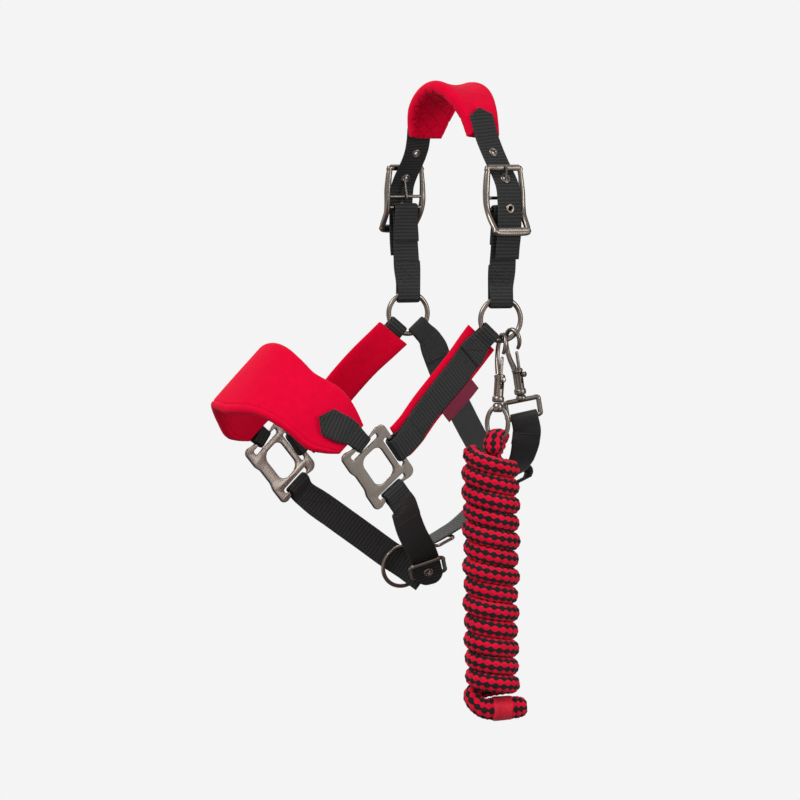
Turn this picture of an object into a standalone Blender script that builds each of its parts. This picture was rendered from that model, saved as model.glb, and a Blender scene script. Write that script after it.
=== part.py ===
"""A padded webbing headcollar for a horse, in its worn shape, with a rope lead clipped on and hanked up.

Lengths are in millimetres and become metres in MM. The origin is the middle of the underside of the crown
pad, where the horse's poll carries it. -Y is the way the horse faces, +X is its near (left) side, +Z is up.
"""
import math

import bpy
from mathutils import Matrix, Vector

MM = 0.001

# driving dimensions
WEB_WIDE = 26.0
WEB_THICK = 2.0
GAP = 0.35
RING_RADIUS = 19.0
RING_WIRE = 2.3
PLATE_THICK = 3.0
FLEECE_THICK = 9.0
ROPE_THICK = 16.4
HANK_WIDE = 52.5
FAR_DROP = 7.0

COLOURS = {
    "webbing": ((0.022, 0.022, 0.024), 0.0, 0.8),
    "fleece": ((0.62, 0.008, 0.035), 0.0, 0.95),
    "gunmetal": ((0.16, 0.14, 0.125), 1.0, 0.3),
    "rope": ((0.5, 0.01, 0.04), 0.0, 0.85),
    "label": ((0.2, 0.015, 0.045), 0.0, 0.7),
}

for old in list(bpy.data.objects):
    bpy.data.objects.remove(old, do_unlink=True)

SHOWN = bpy.data.collections.new("horse_headcollar_with_lead")
bpy.context.scene.collection.children.link(SHOWN)
CUTTERS = bpy.data.collections.new("cutters")
bpy.context.scene.collection.children.link(CUTTERS)
CUTTERS.hide_render = True


def material(slot):
    found = bpy.data.materials.get(slot)
    if found:
        return found
    made = bpy.data.materials.new(slot)
    made.use_nodes = True
    shader = made.node_tree.nodes["Principled BSDF"]
    colour, metal, rough = COLOURS[slot]
    shader.inputs["Base Color"].default_value = (*colour, 1.0)
    shader.inputs["Metallic"].default_value = metal
    shader.inputs["Roughness"].default_value = rough
    return made


def add(name, data, slot, cutter=False):
    obj = bpy.data.objects.new(name, data)
    if cutter:
        obj.hide_render = True
        obj.display_type = "WIRE"
        CUTTERS.objects.link(obj)
        return obj
    SHOWN.objects.link(obj)
    data.materials.append(material(slot))
    return obj


def mesh_of(name, points, faces):
    mesh = bpy.data.meshes.new(name)
    mesh.from_pydata([Vector(p) * MM for p in points], [], faces)
    mesh.update()
    return mesh


def smooth(x):
    x = min(max(x, 0.0), 1.0)
    return x * x * (3 - 2 * x)


class Run:
    """A smooth line through points, with the way its outer face looks at each of them."""

    def __init__(self, points, looks):
        p = [Vector(v) for v in points]
        n = [Vector(v).normalized() for v in looks]
        p = [2 * p[0] - p[1]] + p + [2 * p[-1] - p[-2]]
        n = [n[0]] + n + [n[-1]]
        self.at, self.look = [], []
        for i in range(1, len(p) - 2):
            for k in range(16):
                t = k / 16
                a, b, c, d = p[i - 1], p[i], p[i + 1], p[i + 2]
                self.at.append(0.5 * (2 * b + (c - a) * t + (2 * a - 5 * b + 4 * c - d) * t * t
                                      + (3 * b - 3 * c + d - a) * t ** 3))
                self.look.append(n[i].lerp(n[i + 1], smooth(t)))
        self.at.append(p[-2])
        self.look.append(n[-2])
        self.far = [0.0]
        for a, b in zip(self.at, self.at[1:]):
            self.far.append(self.far[-1] + (b - a).length)
        self.length = self.far[-1]

    def frame(self, s):
        """Place, run, side and outer face at s along the line; past an end it runs straight on."""
        inside = min(max(s, 0.0), self.length)
        i = 0
        while i < len(self.far) - 2 and self.far[i + 1] < inside:
            i += 1
        t = (inside - self.far[i]) / max(self.far[i + 1] - self.far[i], 1e-9)
        place = self.at[i].lerp(self.at[i + 1], t)
        lo, hi = max(i - 2, 0), min(i + 3, len(self.at) - 1)
        along = (self.at[hi] - self.at[lo]).normalized()
        side = self.look[i].lerp(self.look[i + 1], t).cross(along).normalized()
        return place + along * (s - inside), along, side, along.cross(side).normalized()

    def place(self, s, out=0.0, across=0.0):
        at, along, side, face = self.frame(s)
        return at + face * out + side * across


def fold(bar, flap, outer, reach=0.0):
    """The end of a strap doubled round a bar at s = 0, as (s, out) from the sewn flap's end to s = 20."""
    way = 1 if outer else -1
    turn = bar + GAP + WEB_THICK / 2

    def flap_out(s):
        return way * (turn + (WEB_THICK + GAP - turn) * smooth(s / 14))

    path = [(s, flap_out(s)) for s in ((flap, (flap + 14) / 2, 14, 9.5, 5) if flap > 15 else (flap, 5))]
    if reach:
        path.append((0, way * turn))
    for k in range(6):
        a = math.pi * k / 5
        path.append((-reach - turn * math.sin(a), way * turn * math.cos(a)))
    if reach:
        path.append((0, -way * turn))
    path += [(s, -way * turn * (1 - smooth(s / 14))) for s in (5, 9.5, 14)]
    return path


def strap(name, run, start=None, end=None, cut=(0.0, 0.0), narrow=(0.0, 0.0), tip=0.0, step=11.0,
          wide=WEB_WIDE, thick=WEB_THICK, lift=0.0, slot="webbing", round_end=False):
    """Webbing laid along a run. start and end are folds; cut trims a plain end; narrow gathers an end."""
    path = list(start) if start else [(cut[0], 0.0)]
    last = run.length - (14 if end else cut[1])
    first = 14 if start else cut[0]
    count = max(2, math.ceil((last - first) / step))
    path += [(first + (last - first) * k / count, 0.0) for k in range(1, count)]
    path += [(run.length - s, out) for s, out in reversed(end)] if end else [(last, 0.0)]
    rows = []
    for s, out in path:
        half = wide / 2
        half -= narrow[0] * (1 - smooth(s / 26))
        half -= narrow[1] * (1 - smooth((run.length - s) / 26))
        rows.append((s, out + lift, half))
    if round_end:
        s, out, half = rows.pop()
        rows += [(s - 9, out, half), (s - 4, out, half * 0.93), (s - 1.2, out, half * 0.78), (s, out, half * 0.5)]
    lanes = 3 if tip else 2
    points = []
    for s, out, half in rows:
        points += [run.place(s, out, half * (2 * k / (lanes - 1) - 1)) for k in range(lanes)]
    if tip:
        s, out, half = rows[0]
        points[1] = run.place(s - tip, out)
    faces = []
    for row in range(len(rows) - 1):
        for k in range(lanes - 1):
            a = lanes * row + k
            faces.append((a, a + 1, a + lanes + 1, a + lanes))
    obj = add(name, mesh_of(name, points, faces), slot)
    thicken = obj.modifiers.new("thick", "SOLIDIFY")
    thicken.thickness = thick * MM
    thicken.offset = 0.0
    thicken.use_even_offset = True
    return obj


def wire(name, points, radius, slot="gunmetal", closed=False, radii=None, cutter=False, sides=2, as_mesh=False):
    """Round bar or rope bent along points, with filled ends when it isn't closed."""
    curve = bpy.data.curves.new(name, "CURVE")
    curve.dimensions = "3D"
    curve.bevel_depth = radius * MM
    curve.bevel_resolution = sides
    curve.use_fill_caps = True
    spline = curve.splines.new("POLY")
    spline.points.add(len(points) - 1)
    for k, p in enumerate(points):
        spline.points[k].co = (*(Vector(p) * MM), 1.0)
        spline.points[k].radius = radii[k] if radii else 1.0
    spline.use_cyclic_u = closed
    if not (as_mesh or cutter):
        return add(name, curve, slot)
    bent = bpy.data.objects.new(name, curve)
    CUTTERS.objects.link(bent)
    mesh = bpy.data.meshes.new_from_object(bent)
    bpy.data.objects.remove(bent, do_unlink=True)
    mesh.materials.clear()
    return add(name, mesh, slot, cutter)


def circle(centre, u, v, ru, rv, count=24, lean=0.0):
    centre, u, v = Vector(centre), Vector(u).normalized(), Vector(v).normalized()
    turns = [2 * math.pi * k / count + lean for k in range(count)]
    return [centre + u * ru * math.cos(a) + v * rv * math.sin(a) for a in turns]


def rounded(corners, radii, per=4):
    """A flat outline through corners, each rounded to its radius."""
    outline = []
    n = len(corners)
    for k in range(n):
        c = Vector(corners[k])
        a = (Vector(corners[k - 1]) - c).normalized()
        b = (Vector(corners[(k + 1) % n]) - c).normalized()
        half = a.angle(b) / 2
        r = radii[k]
        centre = c + (a + b).normalized() * (r / math.sin(half))
        start = c + a * (r / math.tan(half)) - centre
        stop = c + b * (r / math.tan(half)) - centre
        for j in range(per + 1):
            mid = start.lerp(stop, j / per)
            outline.append(centre + mid.normalized() * r)
    return outline


def flat_plate(name, outlines, thick, centre, u, v, slot="gunmetal"):
    """A cast plate: the first outline is its edge and the others are holes, drawn in its own flat axes."""
    curve = bpy.data.curves.new(name, "CURVE")
    curve.dimensions = "2D"
    curve.fill_mode = "BOTH"
    curve.extrude = thick / 2 * MM
    for outline in outlines:
        spline = curve.splines.new("POLY")
        spline.points.add(len(outline) - 1)
        for k, p in enumerate(outline):
            spline.points[k].co = (p[0] * MM, p[1] * MM, 0.0, 1.0)
        spline.use_cyclic_u = True
    obj = add(name, curve, slot)
    u = Vector(u).normalized()
    n = u.cross(Vector(v)).normalized()
    v = n.cross(u)
    obj.matrix_world = Matrix((
        (u.x, v.x, n.x, centre[0] * MM),
        (u.y, v.y, n.y, centre[1] * MM),
        (u.z, v.z, n.z, centre[2] * MM),
        (0.0, 0.0, 0.0, 1.0),
    ))
    return obj


def cylinder(name, start, stop, radii, slot="gunmetal", cutter=False, sides=14):
    """A turned piece from start to stop: radii lists (share of the length, radius)."""
    start, stop = Vector(start), Vector(stop)
    along = (stop - start).normalized()
    u = along.orthogonal().normalized()
    v = along.cross(u)
    points, faces = [], []
    for share, radius in radii:
        points += circle(start.lerp(stop, share), u, v, radius, radius, sides)
    for ring in range(len(radii) - 1):
        for k in range(sides):
            a, b = ring * sides + k, ring * sides + (k + 1) % sides
            faces.append((a, b, b + sides, a + sides))
    faces.append(tuple(reversed(range(sides))))
    faces.append(tuple(range((len(radii) - 1) * sides, len(radii) * sides)))
    return add(name, mesh_of(name, points, faces), slot, cutter)


def boolean(obj, other, operation="DIFFERENCE"):
    cut = obj.modifiers.new(other.name, "BOOLEAN")
    cut.operation = operation
    cut.solver = "EXACT"
    cut.object = other


def eyelet(name, owner, run, s, bore=2.5):
    """A pressed metal eyelet round a hole through a strap, standing on its outer face."""
    at, along, side, face = run.frame(s)
    hole = cylinder(name + "_hole", at - face * 5, at + face * 5, [(0, bore), (1, bore)], cutter=True, sides=10)
    boolean(owner, hole)
    rim = at + face * (WEB_THICK / 2 + GAP + 0.7)
    wire(name, circle(rim, along, side, bore + 0.9, bore + 0.9, 10), 0.7, closed=True, sides=0)


# Crown pad: fleece over foam, an arch across the poll that is wide over the top and narrows to each end.
# Each row is (along the arch) its middle's X and Z, then the half width in Y and how far the edges lift.
ARCH = [(0.0, 5.2, 25.5, 5.0), (14.0, 3.8, 25.0, 3.6), (26.0, -1.5, 23.0, 1.5), (36.0, -11.0, 19.5, 0.5),
        (42.5, -22.5, 16.5, 0.0), (46.5, -35.0, 14.5, 0.0)]
FAR_ARCH = [(0.0, 5.2, 25.5, 5.0), (14.0, 3.8, 25.0, 3.6), (26.0, -1.5, 25.0, 1.5), (36.0, -11.0, 24.0, 0.5),
            (42.5, -22.5, 20.5, 0.0), (46.5, -35.0, 16.0, 0.0)]
pad_points = []
for x, z, half, lift in [(-r[0], *r[1:]) for r in FAR_ARCH[:0:-1]] + ARCH:
    for y in (-1.0, -0.55, 0.0, 0.55, 1.0):
        pad_points.append((x, y * half, z + lift * y * y + (1.5 * y * y if y < 0 else 0.0)))
pad_faces = []
for k in range(10):
    for j in range(4):
        a = 5 * k + j
        pad_faces.append((a, a + 5, a + 6, a + 1))
crown_pad = add("crown_pad", mesh_of("crown_pad", pad_points, pad_faces), "fleece")
plump = crown_pad.modifiers.new("foam", "SOLIDIFY")
plump.thickness = 10.0 * MM
plump.offset = 0.0
plump.use_even_offset = True
plump_edge = crown_pad.modifiers.new("rolled edge", "BEVEL")
plump_edge.width = 3.2 * MM
plump_edge.segments = 2
plump_edge.angle_limit = math.radians(60)

# Crown straps: each starts in a pointed patch on the pad, runs down behind its buckle's top bar, over the
# tongue bar, behind the bottom bar, and ends in a square tail.
for name, way in (("near", 1), ("far", -1)):
    crown = Run(
        [(way * 46.0, -4, -8.5), (way * 50.5, -3, -20.5), (way * 54.5, -1.5, -34), (way * 61, 0.2, -47.5),
         (way * 69.5, 0.5, -59), (way * 77.8, 0.5, -69), (way * 83.8, 0.5, -78.5), (way * 86.1, 0.5, -90),
         (way * 86.8, 0.5, -103), (way * 86.7, 0.5, -118), (way * 85.3, 0, -131), (way * 83.7, 0, -143.5)],
        [(way * 0.86, 0, 0.5), (way * 0.92, 0, 0.4), (way * 0.92, 0, 0.4), (way * 0.85, 0, 0.53),
         (way * 0.76, 0, 0.65), (way * 0.78, 0, 0.62), (way * 0.92, 0, 0.38), (way * 0.99, 0, 0.14),
         (way, 0, 0.03), (way, 0, -0.03), (way, 0, -0.07), (way, 0, -0.09)],
    )
    crown_strap = strap("crown_strap_" + name, crown, cut=(6.0, 0.0), tip=7.0, step=8.0)
    eyelet("crown_eyelet_top_" + name, crown_strap, crown, 42.8)
    eyelet("crown_eyelet_tongue_" + name, crown_strap, crown, 72.7, 3.2)
    eyelet("crown_eyelet_low_" + name, crown_strap, crown, 100.5)

    # Buckle: a cast frame whose bars for the tongue and for the cheek strap cross between two rails, and
    # whose lower end bows outwards so that the crown strap's tail tucks behind it.
    rail = [(78.3, -61.5, 15.5), (78.5, -65, 17.8), (78.7, -74, 19.0), (79.1, -84, 19.7), (79.5, -94, 19.6),
            (81.8, -103, 18.8), (86.4, -110.5, 18.4), (90.3, -116, 17.6), (91.6, -119.5, 15.0)]
    loop = [(way * x, y, z) for x, z, y in rail] + [(way * x, -y, z) for x, z, y in reversed(rail)]
    frame = wire("buckle_" + name, loop, 2.4, closed=True, as_mesh=True, sides=1)
    for kind, x, z in (("tongue", 79.3, -88.5), ("strap", 79.3, -98.5)):
        bar = cylinder("buckle_%s_bar_%s" % (kind, name), (way * x, -19.3, z), (way * x, 19.3, z),
                       [(0, 1.5), (1, 1.5)], cutter=True, sides=8)
        boolean(frame, bar, "UNION")

    # Tongue: a pin rolled round the tongue bar, up through the eyelet and over the top bar.
    pin = []
    for turn in (-60, -95, -130, -165, -200):
        a = math.radians(turn)
        pin.append((way * (79.3 + 2.85 * math.cos(a)), 0.5, -88.5 + 2.85 * math.sin(a)))
    pin += [(way * 79.9, 0.5, -74.4), (way * 82.3, 0.5, -62.0), (way * 82.4, 0.5, -59.5)]
    wire("tongue_" + name, pin, 1.0, sides=1)

    # Upper cheek strap: doubled round the buckle's strap bar above and the ring below.
    turned = Vector((way * 0.96, -0.28 * way, 0))
    upper = Run([(way * 79.3, 0, -98.5), (way * 79.1, 0, -111), (way * 78.3, 0, -128), (way * 76.6, 0, -152),
                 (way * 74.3, 0, -169), (way * 74.0, 0, -197.5 + RING_RADIUS)],
                [(way, 0, 0), (way, 0, 0), (way, -0.1 * way, 0), (way, -0.2 * way, 0), turned, turned])
    strap("upper_cheek_strap_" + name, upper, fold(1.5, 32, False), fold(RING_WIRE, 30, False, 4.4),
          narrow=(0, 2.2))

    # Ring: welded round wire that the cheek straps hang from.
    ring_centre = (way * 74.0, 0.0, -197.5)
    level = Vector((0.28, 0.96, 0)).normalized()
    wire("ring_" + name, circle(ring_centre, level, (0, 0, 1), RING_RADIUS, RING_RADIUS, 24), RING_WIRE,
         closed=True, sides=1)

    # Noseband plate: a flat cast trapezium with a bar for each strap and a rounded hole in the middle.
    drop = 0.0 if way > 0 else FAR_DROP
    p = Vector((way * 0.08, 0.773, 0.635)).normalized()
    q = Vector((way * -0.06, 0.635, -0.773)).normalized()
    centre = Vector((way * 80.5, -137.2, -322.7 - drop))
    edge = rounded([(-24, -32), (-24, 32), (26.5, 29.5), (26.5, -29.5)], [6, 6, 7, 7], 3)
    hole = rounded([(-11, -16), (12, -16), (12, 16), (-11, 16)], [8, 7, 7, 8], 3)
    slots = [rounded([(-16, -26.3), (16.2, -26.3), (16.2, -21.6), (-16, -21.6)], [1.8] * 4, 1),
             rounded([(-16, 21.6), (16.2, 21.6), (16.2, 26.3), (-16, 26.3)], [1.8] * 4, 1),
             rounded([(17.8, -16), (22.3, -16), (22.3, 16), (17.8, 16)], [1.8] * 4, 1)]
    flat_plate("plate_" + name, [edge, hole, *slots], PLATE_THICK, centre, p, q)
    look = (q.cross(p) * way).normalized()
    if look.x * way < 0:
        look = -look

    # Cheekpiece: webbing from ring to plate, with a fleece lining on the side against the cheek.
    top = Vector(ring_centre)
    foot = centre + p * 24.4
    bow = Vector((0, -2, 4)) if way < 0 else Vector((0, 0, 0))
    angle = math.radians(226.0 if way > 0 else 227.0)
    radial = level * math.cos(angle) + Vector((0, 0, math.sin(angle)))
    cheek = Run([top + radial * RING_RADIUS, top + radial * (RING_RADIUS + 13), top.lerp(foot, 0.42) + bow,
                 top.lerp(foot, 0.68) + bow, foot + p * 17, foot],
                [turned, turned, (way, -0.1 * way, 0), look, look, look])
    strap("cheekpiece_" + name, cheek, fold(RING_WIRE, 30, True, 3.2), fold(2.8, 26, True),
          narrow=(4.0, 1.4))
    if way > 0:
        near_cheek = cheek
    upper_end = [(s, -3.65 * (1 - smooth(s / 14))) for s in (6, 10)]
    lower_end = [(s, -4.15 * (1 - smooth(s / 14))) for s in (7.5, 10.5)]
    lining = strap("cheek_lining_" + name, cheek, upper_end, lower_end, wide=33.0, thick=5.0,
                   lift=-(WEB_THICK / 2 + 3.2 + GAP), slot="fleece", step=22)
    soft = lining.modifiers.new("rolled edge", "BEVEL")
    soft.width = 1.6 * MM
    soft.segments = 1
    soft.angle_limit = math.radians(60)

# Nose pad: fleece over foam, wrapped over the nose from plate to plate, deepest in the middle. Each row is
# the turn round the nose, then the height of the lower and of the upper edge.
NOSE = [(11, -311.5, -279), (17, -309.0, -268), (28, -305, -254.5), (40, -291, -247.5), (52, -280.5, -241),
        (64, -275.5, -229.5), (77, -275.0, -220.0), (90, -276.0, -217.0)]


def nose_at(turn, low, high, share, inset=0.0):
    a = math.radians(turn)
    wide = 81.0 - 2.0 * share - inset
    deep = 84.0 - 32.0 * share - inset
    bulge = 1.2 * math.sin(math.pi * share)
    back = -165.0 + 22.0 * share
    return Vector(((wide + bulge) * math.cos(a), back - (deep + bulge) * math.sin(a), low + (high - low) * share))


nose_points = []
nose_rows = NOSE + [(180 - t, lo + 1.5 * math.sin(math.radians(2 * t)), hi) for t, lo, hi in NOSE[-2::-1]]
for turn, low, high in nose_rows:
    for share in (0.0, 0.25, 0.5, 0.75, 1.0):
        nose_points.append(nose_at(turn, low, high, share, 4.5))
nose_faces = []
for k in range(len(nose_rows) - 1):
    for j in range(4):
        a = 5 * k + j
        nose_faces.append((a, a + 5, a + 6, a + 1))
nose_pad = add("nose_pad", mesh_of("nose_pad", nose_points, nose_faces), "fleece")
plump = nose_pad.modifiers.new("foam", "SOLIDIFY")
plump.thickness = FLEECE_THICK * MM
plump.offset = 0.0
plump.use_even_offset = True
plump_edge = nose_pad.modifiers.new("rolled edge", "BEVEL")
plump_edge.width = 3.0 * MM
plump_edge.segments = 2
plump_edge.angle_limit = math.radians(60)

# Nose straps: a pointed patch sewn to each end of the nose pad and doubled round its plate.
for name, way in (("near", 1), ("far", -1)):
    drop = 0.0 if way > 0 else FAR_DROP
    p = Vector((way * 0.08, 0.773, 0.635)).normalized()
    q = Vector((way * -0.06, 0.635, -0.773)).normalized()
    centre = Vector((way * 80.5, -137.2, -322.7 - drop))
    look = q.cross(p)
    if look.x * way < 0:
        look = -look
    bar = centre - q * 28.6
    patch = Run([(way * 75.4, -185.4, -281.3), (way * 79.7, -176.2, -286.2), bar - q * 15.0, bar],
                [(way * 0.84, -0.45, 0.3), (way * 0.9, -0.33, 0.27), look, look])
    strap("nose_strap_" + name, patch, None, fold(2.8, 8, False), tip=9.0, step=8.0, narrow=(0, 5.0))

# Chin straps: the near one runs down through the chin buckle and ends in a round tab with an eyelet; the
# far one passes through the chin ring and is sewn behind it.
near_centre = Vector((80.5, -137.2, -322.7))
near_q = Vector((-0.06, 0.635, -0.773)).normalized()
far_centre = Vector((-80.5, -137.2, -322.7 - FAR_DROP))
far_q = Vector((0.06, 0.635, -0.773)).normalized()
near_p = Vector((0.08, 0.773, 0.635)).normalized()
far_p = Vector((-0.08, 0.773, 0.635)).normalized()
near_look = near_q.cross(near_p) * (1 if near_q.cross(near_p).x > 0 else -1)
far_look = far_q.cross(far_p) * (1 if far_q.cross(far_p).x < 0 else -1)
near_chin = Run(
    [near_centre + near_q * 28.6, near_centre + near_q * 44.0, (61, -96, -364), (38, -72, -388), (20, -50, -406.5), (12, -40, -416.5),
     (6.5, -32.5, -429), (2.5, -26.5, -442.5)],
    [near_look, near_look, (0.88, 0.02, -0.45), (0.72, -0.04, -0.7), (0.72, -0.08, -0.66), (0.76, -0.2, -0.6),
     (0.84, -0.36, -0.4), (0.85, -0.38, -0.35)],
)
chin_tab = strap("chin_strap_near", near_chin, fold(2.8, 56, True), None, round_end=True, step=10, narrow=(2.0, 0))
eyelet("chin_eyelet", chin_tab, near_chin, near_chin.length - 14)
far_chin = Run(
    [far_centre + far_q * 28.6, far_centre + far_q * 40.0, (-58.5, -92.5, -380.0), (-40.5, -71.5, -399.5),
     (-26, -55.2, -415.0), (-18, -43.6, -424.0), (-10, -35.8, -431.8), (-4, -29.5, -438)],
    [far_look, far_look, (-0.84, 0.52, -0.15), (-0.8, 0.59, -0.1), (-0.8, 0.59, -0.1), (-0.8, 0.59, -0.1),
     (-0.8, 0.59, -0.1), (-0.8, 0.59, -0.1)],
)
strap("chin_strap_far", far_chin, fold(2.8, 40, True), None, step=12, narrow=(1.2, 0))

# Chin ring: a free welded ring that the far chin strap passes through.
at, along, side, face = far_chin.frame(124.0)
lean = (along * 0.5 - face * 0.87).normalized()
down = side if side.z < 0 else -side
across = lean.cross(down).normalized()
wire("chin_ring", circle(at + down * 2.4, across, down, 19.0, 19.0, 24), 1.9, closed=True, sides=1)

# Chin buckle: a bent wire frame; its top bar crosses in front of the near strap and its bottom bar behind.
at, along, side, face = near_chin.frame(near_chin.length - 28.5)
low = near_chin.frame(near_chin.length - 8.5)
top_bar = at + face * 3.5
low_bar = low[0] - low[3] * 3.5
corners = [top_bar - side * 15.8, top_bar + side * 15.8, low_bar + low[2] * 15.8, low_bar - low[2] * 15.8]
loop = []
for k in range(4):
    a, b = corners[k], corners[(k + 1) % 4]
    loop += [a.lerp(b, 0.14), a.lerp(b, 0.5), a.lerp(b, 0.86)]
wire("chin_buckle", loop, 1.8, closed=True, sides=1)

# Throat strap: from the far ring under the jaw and up the near side, where it is doubled round the square
# eye of the throat snap.
level = Vector((0.28, 0.96, 0)).normalized()
hang = level * math.cos(math.radians(-50)) + Vector((0, 0, math.sin(math.radians(-50))))
wide = Vector((0.55, 0.81, 0.2)).normalized()
low_mid = Vector((76.2, 25.0, -286.0))
throat = Run(
    [low_mid, low_mid + Vector((0.079, 0.186, -0.971)) * 12.0, (74.0, 28.6, -309), (64, 32.0, -323.5),
     (48.5, 36.5, -336.0), (31, 45.0, -344.0), (8, 53.5, -348), (-16, 57, -340.5), (-42, 56.5, -318),
     (-58, 48, -288), (-66, 34, -254), Vector((-74, 0, -197.5)) + hang * (RING_RADIUS + 16),
     Vector((-74, 0, -197.5)) + hang * RING_RADIUS],
    [(0.83, -0.56, 0.0), (0.83, -0.56, 0.0), (0.85, -0.35, -0.3), (0.75, -0.15, -0.6), (0.55, 0.0, -0.8),
     (0.3, 0.3, -0.9), (0.02, 0.5, -0.87), (-0.35, 0.4, -0.85), (-0.75, 0.3, -0.6), (-0.9, 0.25, -0.3),
     (-0.97, 0.22, -0.15), (-0.96, 0.28, 0), (-0.96, 0.28, 0)],
)
strap("throat_strap", throat, fold(2.4, 28, False), fold(RING_WIRE, 34, False, 3.2), narrow=(0.6, 4.0), step=15)

# Throat snap's square eye, ball and shank.
top_mid = Vector((75.6, 22.4, -270.6))
corners = [top_mid - wide * 15.2, top_mid + wide * 15.2, low_mid + wide * 15.2, low_mid - wide * 15.2]
loop = []
for k in range(4):
    a, b = corners[k], corners[(k + 1) % 4]
    loop += [a.lerp(b, 0.06), a.lerp(b, 0.94)]
throat_eye = wire("throat_eye", loop, 2.3, closed=True, as_mesh=True, sides=1)
ball = cylinder("throat_ball", (75.3, 21.6, -266.0), (75.6, 22.4, -271.8), [(0, 3.4), (0.5, 4.8), (1, 3.6)],
                cutter=True, sides=12)
boolean(throat_eye, ball, "UNION")


def snap(name, hook_top, foot, across):
    """A bolt snap: a hook running into a turned barrel, and a bolt in the barrel that shuts the hook.

    across points from the hook's back to its opening. The bolt slides down in its bore, its thumb knob in a
    slot, and its spring holds it up against the hook's tip.
    """
    hook_top, foot = Vector(hook_top), Vector(foot)
    down = (foot - hook_top).normalized()
    across = Vector(across)
    across = (across - down * across.dot(down)).normalized()
    square = down.cross(across)

    def at(x, y):
        return hook_top + across * x + down * y

    tall = (foot - hook_top).length
    bend = [(-2.4, 39.0), (-3.6, 34.5), (-6.0, 28.0), (-7.6, 20.0), (-7.5, 11.0), (-5.3, 3.6), (-1.5, 0.2),
            (2.6, 0.7), (5.9, 4.0), (7.1, 9.2), (6.2, 14.0), (4.0, 17.6)]
    hook = wire(name + "_hook", [at(*xy) for xy in bend], 2.0, cutter=True, sides=1)
    shoulder = 36.0 / tall
    barrel = cylinder(name + "_body", at(0, 0).lerp(foot, shoulder), foot,
                      [(0, 3.9), (0.04, 5.0), (0.1, 5.0), (0.13, 4.6), (0.8, 4.4), (0.83, 5.4), (0.98, 5.4), (1, 4.6)],
                      sides=12)
    boolean(barrel, hook, "UNION")
    bore = cylinder(name + "_bore", at(2.3, 33.0), at(2.3, 53.0), [(0, 1.85), (1, 1.85)], cutter=True, sides=10)
    boolean(barrel, bore)
    low, high, wide = 49.6, 38.2, 1.8
    corners = [at(2.0, high), at(9.0, high), at(9.0, low), at(2.0, low)]
    points = [c + square * wide for c in corners] + [c - square * wide for c in corners]
    faces = [(3, 2, 1, 0), (4, 5, 6, 7), (0, 1, 5, 4), (1, 2, 6, 5), (2, 3, 7, 6), (3, 0, 4, 7)]
    slot = add(name + "_slot", mesh_of(name + "_slot", points, faces), "gunmetal", cutter=True)
    boolean(barrel, slot)
    pin = cylinder(name + "_bolt", at(2.3, 20.2), at(2.3, 45.0), [(0, 1.0), (0.05, 1.45), (1, 1.45)], sides=8)
    knob = cylinder(name + "_knob", at(2.3, 41.4), at(8.6, 41.4), [(0, 1.2), (0.55, 1.2), (0.6, 2.6), (1, 2.4)],
                    cutter=True, sides=10)
    boolean(pin, knob, "UNION")
    middle = at(2.3, 33.0) * MM
    pin.data.transform(Matrix.Translation(-middle))
    pin.location = middle


# Throat snap: hangs from the near ring's lower back edge.
snap("throat_snap", (77.3, 9.6, -206.6), (75.3, 21.4, -265.5), (0.94, 0.34, 0))

# Lead snap: hangs from the bottom of the near ring and carries the rope on its swivel eye.
snap("lead_snap", (74.8, 1.8, -210.9), (79.4, -6.6, -271.4), (0.987, -0.159, 0))
right = Vector((0.559, 0.829, 0.0))
eye_centre = Vector((80.0, -7.4, -290.4))
lead_eye = wire("lead_eye", circle(eye_centre, right, (0, 0, 1), 9.4, 15.0, 20), 2.1, closed=True,
                sides=1, as_mesh=True)
ball = cylinder("lead_ball", (79.45, -6.7, -271.9), (79.9, -7.2, -280.4), [(0, 3.4), (0.5, 4.9), (1, 3.4)],
                cutter=True, sides=12)
boolean(lead_eye, ball, "UNION")

# Rope lead: an eye spliced through the snap, the rest wound into a hank, and a whipped end under it.
toward = Vector((0.829, -0.559, 0.0))
hank_axis = Vector((82.0, -16.7, 0.0))
eye_top = eye_centre + Vector((0, 0, -15.0 + 2.1 + GAP + 6.2))
splice = []
for k in range(9):
    a = math.pi * k / 8
    splice.append(eye_top + toward * 8.4 * math.cos(a) + Vector((0, 0, 3.0 + 5.4 * (math.sin(a) - 1))))
splice = [splice[0] + Vector((0, 0, -8.0))] + splice + [splice[-1] + Vector((0, 0, -8.0))]
wire("rope_eye", splice, 6.0, "rope", sides=2)

hank = [(0.0, 0.32), (0.02, 0.74), (0.055, 0.96), (0.09, 1.01), (0.91, 0.93), (0.945, 0.89), (0.98, 0.7), (1, 0.3)]
cylinder("rope_hank", hank_axis + right * -0.6 + Vector((0, 0, -311.0)), hank_axis + right * 2.8 + Vector((0, 0, -534.0)),
         [(share, radius * HANK_WIDE / 2) for share, radius in hank], "rope", sides=18)
tail = [hank_axis + right * x + Vector((0, 0, z)) for x, z in
        ((-11.0, -541.0), (-8, -545.5), (-1, -547.0), (8, -547.5), (17, -547.5), (26, -547.0), (33, -546.0))]
wire("rope_end", tail, 10.6, "rope", radii=[0.62, 0.9, 1.0, 1.06, 1.14, 1.1, 0.75], sides=2)

# Side label: a plain woven tab sewn to the lower edge of the near cheekpiece.
label = Run([near_cheek.place(s, 0.1, WEB_WIDE / 2 + GAP + 6.3) for s in (43, 54, 66, 77, 88)],
            [near_cheek.frame(s)[3] for s in (43, 54, 66, 77, 88)])
strap("side_label", label, step=14, wide=12.6, thick=0.8, slot="label")

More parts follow.
